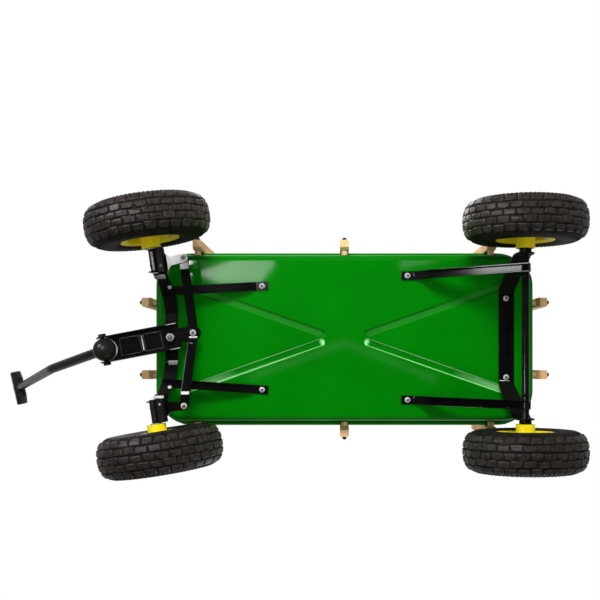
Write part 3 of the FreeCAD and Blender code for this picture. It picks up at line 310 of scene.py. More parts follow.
def painted_rib_light(tree, shader, tones):
    """The tray's four ribs as painted light: faint pale bands on the left as painted reflections, and on the
    right pale lines and tips as painted highlights.
    """
    place = node(tree, "TexCoord").outputs["Object"]
    centred = node(tree, "VectorMath", {0: place, 1: tray_middle}, operation="SUBTRACT").outputs[0]
    level = (millimetres, millimetres, 0.0)
    scaled = node(tree, "VectorMath", {0: centred, 1: level}, operation="MULTIPLY").outputs[0]
    leftward = node(tree, "SeparateXYZ", {0: scaled}).outputs["Y"]
    at_right = rise(tree, leftward, side_blend, -side_blend)
    folded = node(tree, "VectorMath", {0: scaled}, operation="ABSOLUTE").outputs[0]
    from_inner = node(tree, "VectorMath", {0: folded, 1: rib_inner}, operation="SUBTRACT").outputs[0]
    run = Vector(rib_outer) - Vector(rib_inner)
    way = run.normalized()
    along = node(tree, "VectorMath", {0: from_inner, 1: way}, operation="DOT_PRODUCT").outputs["Value"]
    aside = (-way.y, way.x, 0.0)
    across = node(tree, "VectorMath", {0: from_inner, 1: aside}, operation="DOT_PRODUCT").outputs["Value"]
    across = node(tree, "Math", {0: across}, operation="ABSOLUTE").outputs[0]
    reach = node(tree, "VectorMath", {0: from_inner}, operation="LENGTH").outputs["Value"]
    inner_on, inner_full, outer_on, outer_full = rib_ends_soft
    inside = combine(tree, "MULTIPLY", rise(tree, along, inner_on, inner_full),
                     rise(tree, along, run.length + outer_on, run.length + outer_full))
    fade = node(tree, "MapRange", {0: along, 1: 0.0, 2: rib_fade_length, 3: rib_line_dim, 4: 1.0})
    line = combine(tree, "MULTIPLY", rise(tree, across, rib_line - rib_line_soft, rib_line - rib_line_core),
                   rise(tree, across, rib_line + rib_line_soft, rib_line + rib_line_core), inside,
                   fade.outputs[0])
    round_end = combine(tree, "MAXIMUM", rise(tree, along, -rib_end_blend, rib_end_blend),
                        rise(tree, reach, rib_line + rib_end_soft[0], rib_line + rib_end_soft[1]))
    tip = combine(tree, "MULTIPLY", round_end,
                  rise(tree, across, rib_line + rib_tip_soft[0], rib_line + rib_tip_soft[1]),
                  rise(tree, along, rib_tip_length, -rib_tip_length))
    within = combine(tree, "MULTIPLY", inside,
                     rise(tree, across, rib_line + rib_side_soft, rib_line - rib_side_soft))
    outer_end = rise(tree, along, run.length - rib_fill_run[0], run.length - rib_fill_run[1])
    fill = combine(tree, "MULTIPLY", within, outer_end, rib_fill_share)
    bright = combine(tree, "MAXIMUM", line, tip, fill)
    band = combine(tree, "MULTIPLY", within, rib_band_share)
    # How much painted highlight or reflection each point gets, mixed into the enamel's colour.
    share = node(tree, "Mix", {0: at_right, 2: band, 3: bright}).outputs[0]
    mix = node(tree, "Mix", {0: share, 6: tones.outputs[2], 7: linear(rib_painted_highlight)}, data_type="RGBA")
    tree.links.new(mix.outputs[2], shader.inputs["Base Color"])


tray_middle = (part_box("tray")[0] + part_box("tray")[1]) / 2
green_enamel, tree, shader = start_material("green baked enamel", IOR=1.5, Roughness=0.05)
tones = two_tone(tree, shader, green_enamel_colour, green_enamel_shade, grain(tree, tone_patch_mm))
dent(tree, shader, [(grain(tree, sheet_wave_mm, 0.0), sheet_wave_depth_mm),
                    (grain(tree, orange_peel_mm, 0.0), orange_peel_depth_mm)])
# Paints highlights and reflections along the ribs into the enamel's colour.
painted_rib_light(tree, shader, tones)

dull_enamel, tree, shader = start_material("green enamel, thin and dull on a bend", IOR=1.5, Roughness=0.45,
                                           Specular_IOR_Level=0.12)
two_tone(tree, shader, green_enamel_colour, green_enamel_shade, grain(tree, tone_patch_mm))


# The tray: one sheet of steel pressed to a pan with rounded corners, four ribs in its floor
# and a rolled rim. It carries the load and everything else is bolted to it.
def dress(name, material):
    """A CAD node shown with a material."""
    piece = frame["nodes"][name]
    piece.data.materials.clear()
    piece.data.materials.append(material)
    return piece


tray = dress("tray", green_enamel)
tray.data.materials.append(dull_enamel)
for face in tray.data.polygons:
    from_middle = face.center - tray_middle
    on_floor = abs(from_middle.y) < floor_half_width and abs(from_middle.x) < floor_half_length
    bent = bend_normals[0] < face.normal.z < bend_normals[1]
    face.material_index = 1 if bent and not on_floor else 0

# Fixings under and in the tray: zinc-plated carriage bolts, domed inside the tray, with washers
# and hexagon nuts outside. Zinc gives the eye a bright, slightly blue grey with a fine crystal
# grain, and the cut ends of the threads are darker.
tray_sheet = 2.0
bolt_radius = 3.0
nut_flats = 8.6
nut_height = 4.6
nut_crown_share = 0.94
washer_radius = 6.2
washer_sheet = 1.2
washer_ease_share = 0.3
bolt_head_radius = 7.0
bolt_head_rise = 3.0
bolt_head_foot = 0.4
bolt_end_rise = 2.2
round_steps = 32
nut_steps = 24
dome_step = 15
crystal_mm = 2.2
sharp_angle = 32.0
rear_tab_place = (-369.7, 137.0)
front_tab_place = (-48.7, 114.4)
rear_web_place = (-586.8, 87.0)
brace_sheet = 2.5
rear_web_sheet = 3.0
down = (0.0, 0.0, -1.0)
sixth_turn = math.pi / 3


def finish(name, tones, patches, relief=None, **inputs):
    """A material in patches of two near tones. Its relief is a size in mm, a detail and a depth in mm."""
    material, tree, shader = start_material(name, **inputs)
    two_tone(tree, shader, *tones, grain(tree, *patches))
    if relief:
        dent(tree, shader, [(grain(tree, *relief[:2]), relief[2])])
    return material


zinc = finish("zinc-plated steel", ("#F4F4F4", "#CFD1D3"), (crystal_mm,), Metallic=0.45, Roughness=0.36)
cut_steel = finish("cut steel thread end", ("#868381", "#524F4D"), (crystal_mm,), Metallic=0.6,
                   Roughness=0.45)


def standing(origin, axis=(0.0, 0.0, 1.0)):
    """A frame at a point, in millimetres, with its upward direction along an axis."""
    turn = Vector((0.0, 0.0, 1.0)).rotation_difference(Vector(axis))
    return Matrix.Translation(Vector(origin)) @ turn.to_matrix().to_4x4()


def bridge(mesh, rings):
    """Faces from each ring of points to the next one, which has as many points."""
    for low, high in zip(rings, rings[1:]):
        for step in range(len(low)):
            ahead = (step + 1) % len(low)
            mesh.faces.new((low[step], low[ahead], high[ahead], high[step]))


def lathe(mesh, place, profile, closed=False):
    """A turned surface about a frame's upright, from points of radius and height in millimetres."""
    rings = []
    for radius, height in profile:
        ring = []
        for step in range(round_steps if radius > 0 else 1):
            angle = 2 * math.pi * step / round_steps
            point = Vector((radius * math.cos(angle), radius * math.sin(angle), height))
            ring.append(mesh.verts.new(place @ point))
        rings.append(ring)
    if closed:
        rings.append(rings[0])
    for low, high in zip(rings, rings[1:]):
        for step in range(round_steps):
            ahead = (step + 1) % round_steps
            around = ((low, step), (low, ahead), (high, ahead), (high, step))
            corners = [ring[at % len(ring)] for ring, at in around]
            mesh.faces.new([corner for at, corner in enumerate(corners) if corner not in corners[:at]])


def hexagon_nut(mesh, place, flats, height):
    """A six-sided nut or bolt head with its outer corners turned off."""
    half = flats / 2
    foot, rim, crown = [], [], []
    for ring in (foot, rim, crown):
        for step in range(nut_steps):
            angle = 2 * math.pi * step / nut_steps
            off_flat = (angle + sixth_turn / 2) % sixth_turn - sixth_turn / 2
            corner = half / math.cos(off_flat)
            radius, level = ((corner, 0.0) if ring is foot else
                             (corner, height - (corner - half)) if ring is rim else
                             (half * nut_crown_share, height))
            point = Vector((radius * math.cos(angle), radius * math.sin(angle), level))
            ring.append(mesh.verts.new(place @ point))
    bridge(mesh, (foot, rim, crown))
    mesh.faces.new(crown)
    mesh.faces.new(foot[::-1])


def washer(mesh, place, inner, outer, sheet):
    """A flat ring with eased edges."""
    ease = sheet * washer_ease_share
    lathe(mesh, place, [(inner, 0.0), (outer - ease, 0.0), (outer, ease), (outer, sheet - ease),
                        (outer - ease, sheet), (inner, sheet)], closed=True)


def dome(mesh, place, radius, rise, foot):
    """A round head: a short straight edge under a dome."""
    turns = [math.radians(angle) for angle in range(0, 90, dome_step)]
    bow = [(radius * math.cos(turn), foot + rise * math.sin(turn)) for turn in turns]
    lathe(mesh, place, [(0.0, 0.0), (radius, 0.0)] + bow + [(0.0, foot + rise)])


def new_piece(name, mesh, material, body, stands_for=()):
    """A finished mesh, made in millimetres, as a named piece of the wagon."""
    bmesh.ops.recalc_face_normals(mesh, faces=mesh.faces)
    data = bpy.data.meshes.new(name)
    mesh.to_mesh(data)
    mesh.free()
    data.transform(Matrix.Scale(1 / millimetres, 4))
    data.shade_smooth()
    data.set_sharp_from_angle(angle=math.radians(sharp_angle))
    for coat in material if isinstance(material, tuple) else (material,):
        data.materials.append(coat)
    piece = put_in_scene(name, data)
    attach(piece, body)
    if stands_for:
        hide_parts(*stands_for)


def nut_and_washer(mesh, place, flats=nut_flats, height=nut_height, ring=washer_radius, shank=bolt_radius):
    """A nut on its washer, with the rounded end of the bolt, cut steel, just through it."""
    washer(mesh, place, shank, ring, washer_sheet)
    nut = place @ Matrix.Translation((0.0, 0.0, washer_sheet))
    hexagon_nut(mesh, nut, flats, height)
    end = nut @ Matrix.Translation((0.0, 0.0, height - bolt_end_rise / 2))
    before = len(mesh.faces)
    dome(mesh, end, shank, bolt_end_rise / 2, bolt_end_rise)
    mesh.faces.ensure_lookup_table()
    for face in mesh.faces[before:]:
        face.material_index = 1


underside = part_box("tray")[0].z * millimetres
mesh = bmesh.new()
for place, sheet in ((rear_tab_place, brace_sheet), (front_tab_place, brace_sheet),
                     (rear_web_place, rear_web_sheet)):
    for side in (1, -1):
        below = (place[0], place[1] * side, underside - sheet)
        above = (place[0], place[1] * side, underside + tray_sheet)
        nut_and_washer(mesh, standing(below, down))
        dome(mesh, standing(above), bolt_head_radius, bolt_head_rise, bolt_head_foot)
new_piece("tray_bolts", mesh, (zinc, cut_steel), "wagon")

# The racks: planed pine stakes and slats under a thin clear varnish, bevelled at the stakes'
# feet. Pine gives the eye pale honey bands of growth with fine fibres along them and a few knots.
pine_early = "#F5CD9A"
pine_late = "#DFA568"
pine_knot = "#9A6233"
growth_ring_mm = 5.5
growth_sway_mm = 60.0
growth_sway_rings = 7.0
growth_power = 1.7
growth_lean = (1.0, 0.83, 1.31)
growth_share = 0.55
fibre_mm = 1.1
fibre_depth_mm = 0.08
fibre_share = 0.45
fibre_stretch = 3.0
pine_low = 0.22
pine_high = 0.85
knot_spacing_mm = 86.3636
knot_middle = 0.033
knot_edge = 0.088
pine_length = 14.0


def pine_along(name, stretch):
    """Pine whose grain runs along the direction that is stretched."""
    material, tree, shader = start_material(name, IOR=1.45, Roughness=0.5)
    place = node(tree, "TexCoord").outputs["Object"]
    shares = [1.0 / share for share in stretch]
    place = node(tree, "VectorMath", {0: place, 1: shares}, operation="MULTIPLY").outputs[0]
    sway = node(tree, "TexNoise", {"Vector": place, "Scale": millimetres / growth_sway_mm, "Detail": 2.0})
    knots = node(tree, "TexVoronoi", {"Vector": place, "Scale": millimetres / knot_spacing_mm})
    spread = node(tree, "VectorMath", {0: place, 1: growth_lean}, operation="DOT_PRODUCT").outputs["Value"]
    rings = combine(tree, "MULTIPLY", spread, millimetres / growth_ring_mm)
    bent = node(tree, "Math", {0: sway.outputs["Fac"], 1: growth_sway_rings, 2: rings},
                operation="MULTIPLY_ADD")
    saw = node(tree, "Math", {0: bent.outputs[0]}, operation="FRACT").outputs[0]
    band = combine(tree, "MULTIPLY", combine(tree, "POWER", saw, growth_power), growth_share)
    fibre = grain(tree, fibre_mm, 2.0, [share * fibre_stretch if share > 1 else share for share in stretch])
    field = node(tree, "Math", {0: fibre, 1: fibre_share, 2: band}, operation="MULTIPLY_ADD").outputs[0]
    mix = two_tone(tree, shader, pine_early, pine_late, field, pine_low, pine_high)
    knot = rise(tree, knots.outputs["Distance"], knot_middle, knot_edge)
    whole = node(tree, "Mix", {0: knot, 6: linear(pine_knot), 7: mix.outputs[2]}, data_type="RGBA")
    tree.links.new(whole.outputs[2], shader.inputs["Base Color"])
    dent(tree, shader, [(fibre, fibre_depth_mm)])
    return material


upright_pine = pine_along("varnished pine, grain upright", (1.0, 1.0, pine_length))
lengthwise_pine = pine_along("varnished pine, grain along the wagon", (pine_length, 1.0, 1.0))
crosswise_pine = pine_along("varnished pine, grain across the wagon", (1.0, pine_length, 1.0))

wood_edge_mm = 0.7
edge_segments = 2
edge_angle = 35.0
same_place = 0.00001


def ease_edges(piece, width_mm):
    """Rounds a node's sharp edges a little, as pressing, planing or paint does."""
    weld = piece.modifiers.new("weld", "WELD")
    weld.merge_threshold = same_place
    bevel = piece.modifiers.new("rounded edges", "BEVEL")
    bevel.width = width_mm / millimetres
    bevel.segments = edge_segments
    bevel.limit_method = "ANGLE"
    bevel.angle_limit = math.radians(edge_angle)
    return piece


for side, slat_pine in (("left", lengthwise_pine), ("right", lengthwise_pine),
                        ("front", crosswise_pine), ("rear", crosswise_pine)):
    ease_edges(dress("stakes_" + side, upright_pine), wood_edge_mm)
    ease_edges(dress("slats_" + side, slat_pine), wood_edge_mm)

# Rack bolts: carriage bolts through the tray's wall and each stake, with a wooden spacer tube
# between, closed outside by a domed nut. Black oxide gives the eye a dark metal grey on the nuts.
# Screws hold each slat to its stakes from inside.
rack_bolt_height = 291.0
dome_nut_flats = 10.0
dome_nut_height = 3.0
dome_nut_radius = 4.4
dome_nut_rise = 3.4
dome_nut_sink = 0.4
dome_washer_radius = 6.8
dome_washer_sheet = 0.6
spacer_radius = 7.0
spacer_length = 9.85
stake_depth = 23.0
wall_inset = 10.6
wall_lean = 0.5
screw_radius = 3.6
screw_rise = 0.5
screw_sink = 0.3
screw_spread = 32.0
slat_thickness = 12.0

black_cap = finish("black oxide on steel", ("#2A2A2B", "#1B1B1C"), (crystal_mm,), Metallic=0.7,
                   Roughness=0.35)


def boxes_of(name):
    """The corners of a node's separate solids, in millimetres, from its connected vertices."""
    mesh = bmesh.new()
    mesh.from_mesh(frame["nodes"][name].data)
    bmesh.ops.remove_doubles(mesh, verts=mesh.verts, dist=same_place)
    waiting = set(mesh.verts)
    boxes = []
    while waiting:
        group = [waiting.pop()]
        for vert in group:
            for edge in vert.link_edges:
                other = edge.other_vert(vert)
                if other in waiting:
                    waiting.remove(other)
                    group.append(other)
        low = Vector([min(vert.co[axis] for vert in group) for axis in range(3)]) * millimetres
        high = Vector([max(vert.co[axis] for vert in group) for axis in range(3)]) * millimetres
        boxes.append((low, high))
    mesh.free()
    return sorted(boxes, key=lambda box: tuple(box[0]))


bolts = bmesh.new()
spacers = bmesh.new()
caps = bmesh.new()
screws = bmesh.new()
for side, outward in (("left", (0, 1, 0)), ("right", (0, -1, 0)), ("front", (1, 0, 0)), ("rear", (-1, 0, 0))):
    outward = Vector(outward)
    slats = boxes_of("slats_" + side)
    for low, high in boxes_of("stakes_" + side):
        middle = (low + high) / 2
        inner = middle - outward * (stake_depth / 2)
        outer = middle + outward * (stake_depth / 2)
        inner.z = rack_bolt_height
        outer.z = rack_bolt_height
        wall = inner - outward * wall_inset
        lathe(bolts, standing(wall, outward),
              [(0.0, 0.0), (bolt_radius, 0.0), (bolt_radius, wall_inset), (0.0, wall_inset)])
        lathe(spacers, standing(wall + outward * wall_lean, outward),
              [(bolt_radius, 0.0), (spacer_radius, 0.0), (spacer_radius, spacer_length),
               (bolt_radius, spacer_length)], closed=True)
        head = wall - outward * (tray_sheet + wall_lean)
        dome(bolts, standing(head, -outward), bolt_head_radius, bolt_head_rise, bolt_head_foot)
        washer(caps, standing(outer, outward), bolt_radius, dome_washer_radius, dome_washer_sheet)
        cap = outer + outward * dome_washer_sheet
        hexagon_nut(caps, standing(cap, outward), dome_nut_flats, dome_nut_height)
        top = cap + outward * (dome_nut_height - dome_nut_sink)
        dome(caps, standing(top, outward), dome_nut_radius, dome_nut_rise, dome_nut_sink)
        for slat_low, slat_high in slats:
            face = middle - outward * (stake_depth / 2 + slat_thickness - screw_sink)
            for step in (-0.5, 0.5):
                face.z = (slat_low.z + slat_high.z) / 2 + screw_spread * step
                dome(screws, standing(face, -outward), screw_radius, screw_rise, bolt_head_foot)
new_piece("rack_bolt_shanks", bolts, zinc, "wagon", ("rack_bolts",))
new_piece("rack_spacers", spacers, upright_pine, "wagon", ("rack_bolts",))
new_piece("rack_dome_nuts", caps, black_cap, "wagon", ("rack_bolts",))
new_piece("slat_screws", screws, zinc, "wagon")

# The undercarriage: brackets and braces stamped and bent from steel strip, under a black powder
# coat melted on in an oven. It gives the eye a deep black with thin bright lines along the bends,
# and on the brackets' sloping legs the rough dull black of a painted casting.
powder_pebble = (1.5, 0.0, 0.006)
rough_pebble = (2.0, 3.0, 0.25)
painted_edge_mm = 0.9
cheek_edge_mm = 0.6
leg_face_tilt = 0.985
leg_start = 0.05

black_paint = finish("black gloss powder coat", ("#0C0B0C", "#070607"), (40.0,), powder_pebble,
                     IOR=1.5, Roughness=0.11)
cast_black = finish("black paint on a rough casting", ("#131213", "#080708"), (3.0, 4.0), rough_pebble,
                    IOR=1.5, Roughness=0.5, Specular_IOR_Level=0.25)
for name in ("rear_bracket", "front_bracket"):
    bracket = ease_edges(dress(name, black_paint), painted_edge_mm)
    bracket.data.materials.append(cast_black)
    for face in bracket.data.polygons:
        on_leg = abs(face.normal.z) < leg_face_tilt and abs(face.center.y) > leg_start
        face.material_index = 1 if on_leg else 0
for name in ("rear_brace_left", "rear_brace_right", "front_brace_left", "front_brace_right"):
    ease_edges(dress(name, black_paint), cheek_edge_mm)

# Painted highlights: thin white patches laid on the brackets' bends and web where a glint falls.
# Each is a middle and half a width and length, in millimetres.
bend_highlight = ((146.9, -54.6), (9.8, 4.6))
lug_highlight = ((163.2, -127.8), (10.6, 2.8))
web_highlight = ((-580.9, -94.3), (13.0, 0.8))
patch_steps = 10
patch_lift = 0.15
patch_step_limit = 3.0

# White for painted highlights on the brackets, the tongue, the ball's notch and the right tie rod.
white_painted_highlight = finish("white painted highlight", ("#F7F6F3", "#D9D6D1"), (crystal_mm,), Metallic=0.1, Roughness=0.4)


def painted_highlight_patch(mesh, piece, middle, half, turn=0.0):
    """A thin patch on the underside of a piece, coloured as a painted highlight."""
    data = piece.data
    faces = [face.vertices for face in data.polygons]
    surface = BVHTree.FromPolygons([corner.co for corner in data.vertices], faces)
    grid = []
    for row in range(patch_steps + 1):
        line = []
        for column in range(patch_steps + 1):
            shares = ((column, half[0]), (row, half[1]))
            aside = Vector([(step / patch_steps * 2 - 1) * reach for step, reach in shares])
            aside.rotate(Matrix.Rotation(turn, 2))
            start = Vector((middle[0] + aside.x, middle[1] + aside.y, 0.0)) / millimetres
            hit, normal, _, _ = surface.ray_cast(start, Vector((0.0, 0.0, 1.0)))
            if hit is None:
                line.append(None)
                continue
            line.append(mesh.verts.new(hit * millimetres - normal * math.copysign(patch_lift, normal.z)))
        grid.append(line)
    for near, far in zip(grid, grid[1:]):
        for column in range(patch_steps):
            corners = (near[column], near[column + 1], far[column + 1], far[column])
            if None in corners:
                continue
            heights = [corner.co.z for corner in corners]
            if max(heights) - min(heights) < patch_step_limit:
                mesh.faces.new(corners)


# White patches painted where glints fall on the brackets' bends and web.
mesh = bmesh.new()
painted_highlight_patch(mesh, frame["nodes"]["front_bracket"], *bend_highlight)
painted_highlight_patch(mesh, frame["nodes"]["front_bracket"], *lug_highlight)
painted_highlight_patch(mesh, frame["nodes"]["rear_bracket"], *web_highlight)
new_piece("bracket_painted_highlights", mesh, white_painted_highlight, "wagon")

# Rivets that hold each front brace to the bracket's sloping leg: plated steel, set cold.
rivet_place = (147.8, 110.7)
rivet_radius = 4.6
rivet_rise = 2.4
rivet_foot = 0.5
leg_bend_y = 55.0
leg_foot_y = 126.5
leg_foot_height = 188.0
front_bracket_sheet = 4.0

leg_slope = math.atan2(underside - leg_foot_height, leg_foot_y - leg_bend_y)
leg_height = underside - (rivet_place[1] - leg_bend_y) * math.tan(leg_slope)
mesh = bmesh.new()
for side in (1, -1):
    out_of_leg = Vector((0.0, -math.sin(leg_slope) * side, -math.cos(leg_slope)))
    on_leg = Vector((rivet_place[0], rivet_place[1] * side, leg_height)) + out_of_leg * front_bracket_sheet
    dome(mesh, standing(on_leg, out_of_leg), rivet_radius, rivet_rise, rivet_foot)
new_piece("front_leg_rivets", mesh, zinc, "wagon")

# The rear axle: a drawn steel bar, held sideways by black washers and split pins just inside the
# braces. Its black paint gives the eye one long highlight.
axle_radius = 8.0
pin_across = 124.2
pin_inset = 2.4
pin_lean = (0.5, 0.0, -0.866)
pin_wire_radius = 1.5
pin_reach = 10.5
pin_eye_radius = 2.8
pin_neck_share = 0.9
pin_eye_start = -60
pin_eye_turn = 300
pin_eye_steps = 12
# Points of a pin's legs: the step aside in wire radii, the end they are at, and how far inward.
pin_legs = ((1.65, -1.0, 0.0), (0.55, -1.0, 5.0), (0.55, 1.0, 0.0),
            (-0.55, 1.0, 0.0), (-0.55, -1.0, 6.0), (-3.2, -1.0, 1.5))
pin_thin_share = 0.7
collar_radius = 12.5
collar_sheet = 2.0
wire_sides = 10

axle_black = finish("black paint on drawn steel", ("#0E0D0E", "#080708"), (12.0,), IOR=1.5, Roughness=0.16)
ease_edges(dress("rear_axle", axle_black), cheek_edge_mm)


def wire(mesh, place, points, radius, closed=False):
    """A round wire that follows points in a frame."""
    line = [Vector(point) for point in points]
    rings = []
    aside = None
    for at, here in enumerate(line):
        before = line[at - 1] if at or closed else here
        after = line[(at + 1) % len(line)] if at + 1 < len(line) or closed else here
        along = (after - before).normalized()
        if aside is None:
            aside = along.orthogonal().normalized()
        aside = (aside - along * aside.dot(along)).normalized()
        upward = along.cross(aside)
        ring = []
        for step in range(wire_sides):
            angle = 2 * math.pi * step / wire_sides
            arm = (aside * math.cos(angle) + upward * math.sin(angle)) * radius
            ring.append(mesh.verts.new(place @ (here + arm)))
        rings.append(ring)
    if closed:
        rings.append(rings[0])
    bridge(mesh, rings)
    if not closed:
        mesh.faces.new(rings[0][::-1])
        mesh.faces.new(rings[-1])


def split_pin(mesh, place, reach=pin_reach, eye=pin_eye_radius, radius=pin_wire_radius):
    """A split pin through a shaft along a frame's upright: an eye above, two spread legs below."""
    legs = [(aside * radius, 0.0, reach * end + inward) for aside, end, inward in pin_legs]
    loop = []
    for step in range(pin_eye_steps + 1):
        angle = math.radians(pin_eye_start + pin_eye_turn * step / pin_eye_steps)
        loop.append((eye * math.cos(angle), 0.0, reach + eye * (pin_neck_share + math.sin(angle))))
    wire(mesh, place, legs[:3] + loop + legs[3:], radius * pin_thin_share)


axle_low, axle_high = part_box("rear_axle")
axle_x = (axle_low.x + axle_high.x) / 2 * millimetres
axle_z = (axle_low.z + axle_high.z) / 2 * millimetres
mesh = bmesh.new()
for side in (1, -1):
    washer(mesh, standing((axle_x, pin_across * side, axle_z), (0, side, 0)), axle_radius, collar_radius,
           collar_sheet)
    split_pin(mesh, standing((axle_x, (pin_across - pin_inset) * side, axle_z), pin_lean))
new_piece("rear_axle_pins", mesh, black_cap, "wagon")

# The steering knuckles: a steel arm plate welded to a block, with the spindle bar laid along the
# block. They are painted black. On the left spindle a grey patch is a painted highlight, laid
# where a soft glint falls. The kingpins, arm bolts, hub washers, spindle caps and grease nipples
# are plated, and the split pins are black.
plate_low = 140.3
block_top_gap = 0.4
block_low = 120.3
block_outer_end = 31.0
spindle_inner_end = -19.0
spindle_pin_inset = 3.4
spindle_highlight_place = (0.5, 5.5, 0.0)
spindle_highlight_half = (2.7, 19.5)
hub_washer_radius = 13.3
hub_washer_sheet = 1.5
grease_nipple_place = (-15.5, -7.0)
# The pin's reach, eye and wire, and the radius, rise and straight foot of the cap and the nipple.
spindle_pin = (8.8, 2.0, 2.2)
spindle_cap = (6.88, 1.4, 0.3)
grease_nipple = (2.2, 2.0, 1.2)
rod_outer_top = 150.9
arm_nut_flats = 10.4
arm_nut_height = 3.2
arm_washer_radius = 6.6
arm_bolt_radius = 3.6
arm_head_flats = 13.0
arm_head_height = 5.4
quarter_turn = math.pi / 2

# Grey for painted highlights: the left spindle's glint and the tongue's panel edges.
grey_painted_highlight = finish("grey painted highlight", ("#B4B2B0", "#7C7A78"), (crystal_mm,), Metallic=0.6,
                    Roughness=0.4)


def joint_named(name):
    """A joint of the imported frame."""
    return [joint for joint in frame["joints"] if joint["name"] == name][0]


def joint_place(name):
    """The place of a joint, in millimetres."""
    return Vector(joint_named(name)["pos_m"]) * millimetres


def level_frame(ahead, left, place):
    """A frame with two level directions and the upright, over a place on the floor."""
    turn = Matrix((ahead, left, Vector((0.0, 0.0, 1.0)))).transposed().to_4x4()
    return Matrix.Translation((place.x, place.y, 0.0)) @ turn


def knuckle_frame(side):
    """The frame of a knuckle as it stands: forward, out along its spindle, and up from the floor."""
    spin = joint_named("wheel_front_%s_spin" % side)
    across = Vector(spin["axis"]).normalized() * (1 if side == "left" else -1)
    ahead = Vector((abs(across.y), -across.x * math.copysign(1, across.y), 0.0))
    return level_frame(ahead, across, joint_place("knuckle_%s_steer" % side))


def bolt_through(name, body, stands_for, low_face, high_face):
    """A plated bolt that stands for a plain one: nut and end below, head above."""
    middle = (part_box(stands_for)[0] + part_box(stands_for)[1]) / 2 * millimetres
    foot = (middle.x, middle.y, low_face)
    length = high_face - low_face
    mesh = bmesh.new()
    nut_and_washer(mesh, standing(foot, down), arm_nut_flats, arm_nut_height, arm_washer_radius,
                   arm_bolt_radius)
    shank = [(0.0, 0.0), (arm_bolt_radius, 0.0), (arm_bolt_radius, length), (0.0, length)]
    lathe(mesh, standing(foot), shank)
    hexagon_nut(mesh, standing((middle.x, middle.y, high_face)), arm_head_flats, arm_head_height)
    new_piece(name, mesh, (zinc, cut_steel), body, (stands_for,))


for side in ("left", "right"):
    body = "knuckle_" + side
    knuckle_piece = ease_edges(dress(body, black_paint), painted_edge_mm)
    knuckle_piece.data.materials.append(cast_black)
    for face in knuckle_piece.data.polygons:
        face.material_index = 1 if face.center.z * millimetres < plate_low - block_top_gap else 0
    bolt_through("arm_bolt_plated_" + side, body, "arm_bolt_" + side, plate_low, rod_outer_top)
    spindle = ease_edges(dress("spindle_" + side, cast_black), cheek_edge_mm)
    ease_edges(dress("kingpin_" + side, zinc), cheek_edge_mm)
    knuckle = knuckle_frame(side)
    # On the left only, a grey painted highlight is laid along the spindle.
    if side == "left":
        way = knuckle.to_3x3() @ Vector((0.0, 1.0, 0.0))
        mesh = bmesh.new()
        painted_highlight_patch(mesh, spindle, knuckle @ Vector(spindle_highlight_place), spindle_highlight_half,
                     math.atan2(-way.x, way.y))
        new_piece("spindle_painted_highlight", mesh, grey_painted_highlight, body)
    inner_end = knuckle @ Matrix.Translation((0.0, spindle_inner_end, axle_z))
    pin_at = inner_end @ Matrix.Translation((0.0, spindle_pin_inset, 0.0))
    mesh = bmesh.new()
    split_pin(mesh, pin_at @ Matrix.Rotation(quarter_turn, 4, "Y"), *spindle_pin)
    new_piece("spindle_pin_" + side, mesh, black_cap, body)
    mesh = bmesh.new()
    dome(mesh, inner_end @ Matrix.Rotation(quarter_turn, 4, "X"), *spindle_cap)
    ring = knuckle @ Matrix.Translation((0.0, block_outer_end, axle_z))
    washer(mesh, ring @ Matrix.Rotation(-quarter_turn, 4, "X"), axle_radius, hub_washer_radius,
           hub_washer_sheet)
    nipple = knuckle @ Matrix.Translation((grease_nipple_place[0], grease_nipple_place[1], block_low))
    dome(mesh, nipple @ Matrix.Rotation(math.pi, 4, "X"), *grease_nipple)
    new_piece("knuckle_trim_" + side, mesh, zinc, body)

# The rims: two pressed steel halves held together by black bolts round a pressed-in hub tube, in
# yellow baked enamel all over. It gives the eye a warm even yellow with soft highlights on the
# rolled flanges. Inboard, each rim has a rubber valve stem with a plated cap.
rim_edge_mm = 0.7
rim_bolt_circle = 38.2
rim_bolt_flats = 7.0
rim_bolt_height = 3.4
rim_bolt_radius = 2.2
rim_washer_radius = 5.04
rim_bolt_count = 4
inboard_face = 2.5
outboard_face = 3.6
hub_ring_face = 56.95
# The ring on the hub's inboard end: its inner and outer radius and its sheet.
hub_ring = (8.4, 14.7, 0.24)
valve_circle = 45.5
valve_base = 17.0
valve_lean = 0.14
valve_turns = {"front_left": 205.0, "rear_left": 178.0, "front_right": 312.0, "rear_right": 74.0}
# Turned outlines of radius and height.
valve_stem = ((0.0, -2.0), (6.2, -2.0), (6.2, 0.6), (4.2, 2.2), (3.6, 4.0), (3.4, 15.0), (2.7, 15.6),
              (0.0, 15.6))
valve_cap = ((0.0, 15.6), (3.3, 15.6), (3.3, 16.6), (3.0, 17.0), (3.3, 17.4), (3.3, 22.0), (2.4, 23.4),
             (0.0, 23.8))

orange_peel = (orange_peel_mm, 0.0, orange_peel_depth_mm)
yellow_enamel = finish("yellow baked enamel", ("#F8E20A", "#EDD507"), (60.0,), orange_peel, IOR=1.5,
                       Roughness=0.32, Specular_IOR_Level=0.3)
valve_rubber = finish("moulded valve rubber", ("#1C1A19", "#141312"), (4.0,), IOR=1.5, Roughness=0.5)


def hub_place(wheel):
    """The frame of a wheel made about the Y axis, in millimetres, with +Y to the wagon's left."""
    spin = "wheel_%s_spin" % wheel
    turn = Vector((0.0, 1.0, 0.0)).rotation_difference(Vector(joint_named(spin)["axis"]))
    return Matrix.Translation(joint_place(spin)) @ turn.to_matrix().to_4x4()


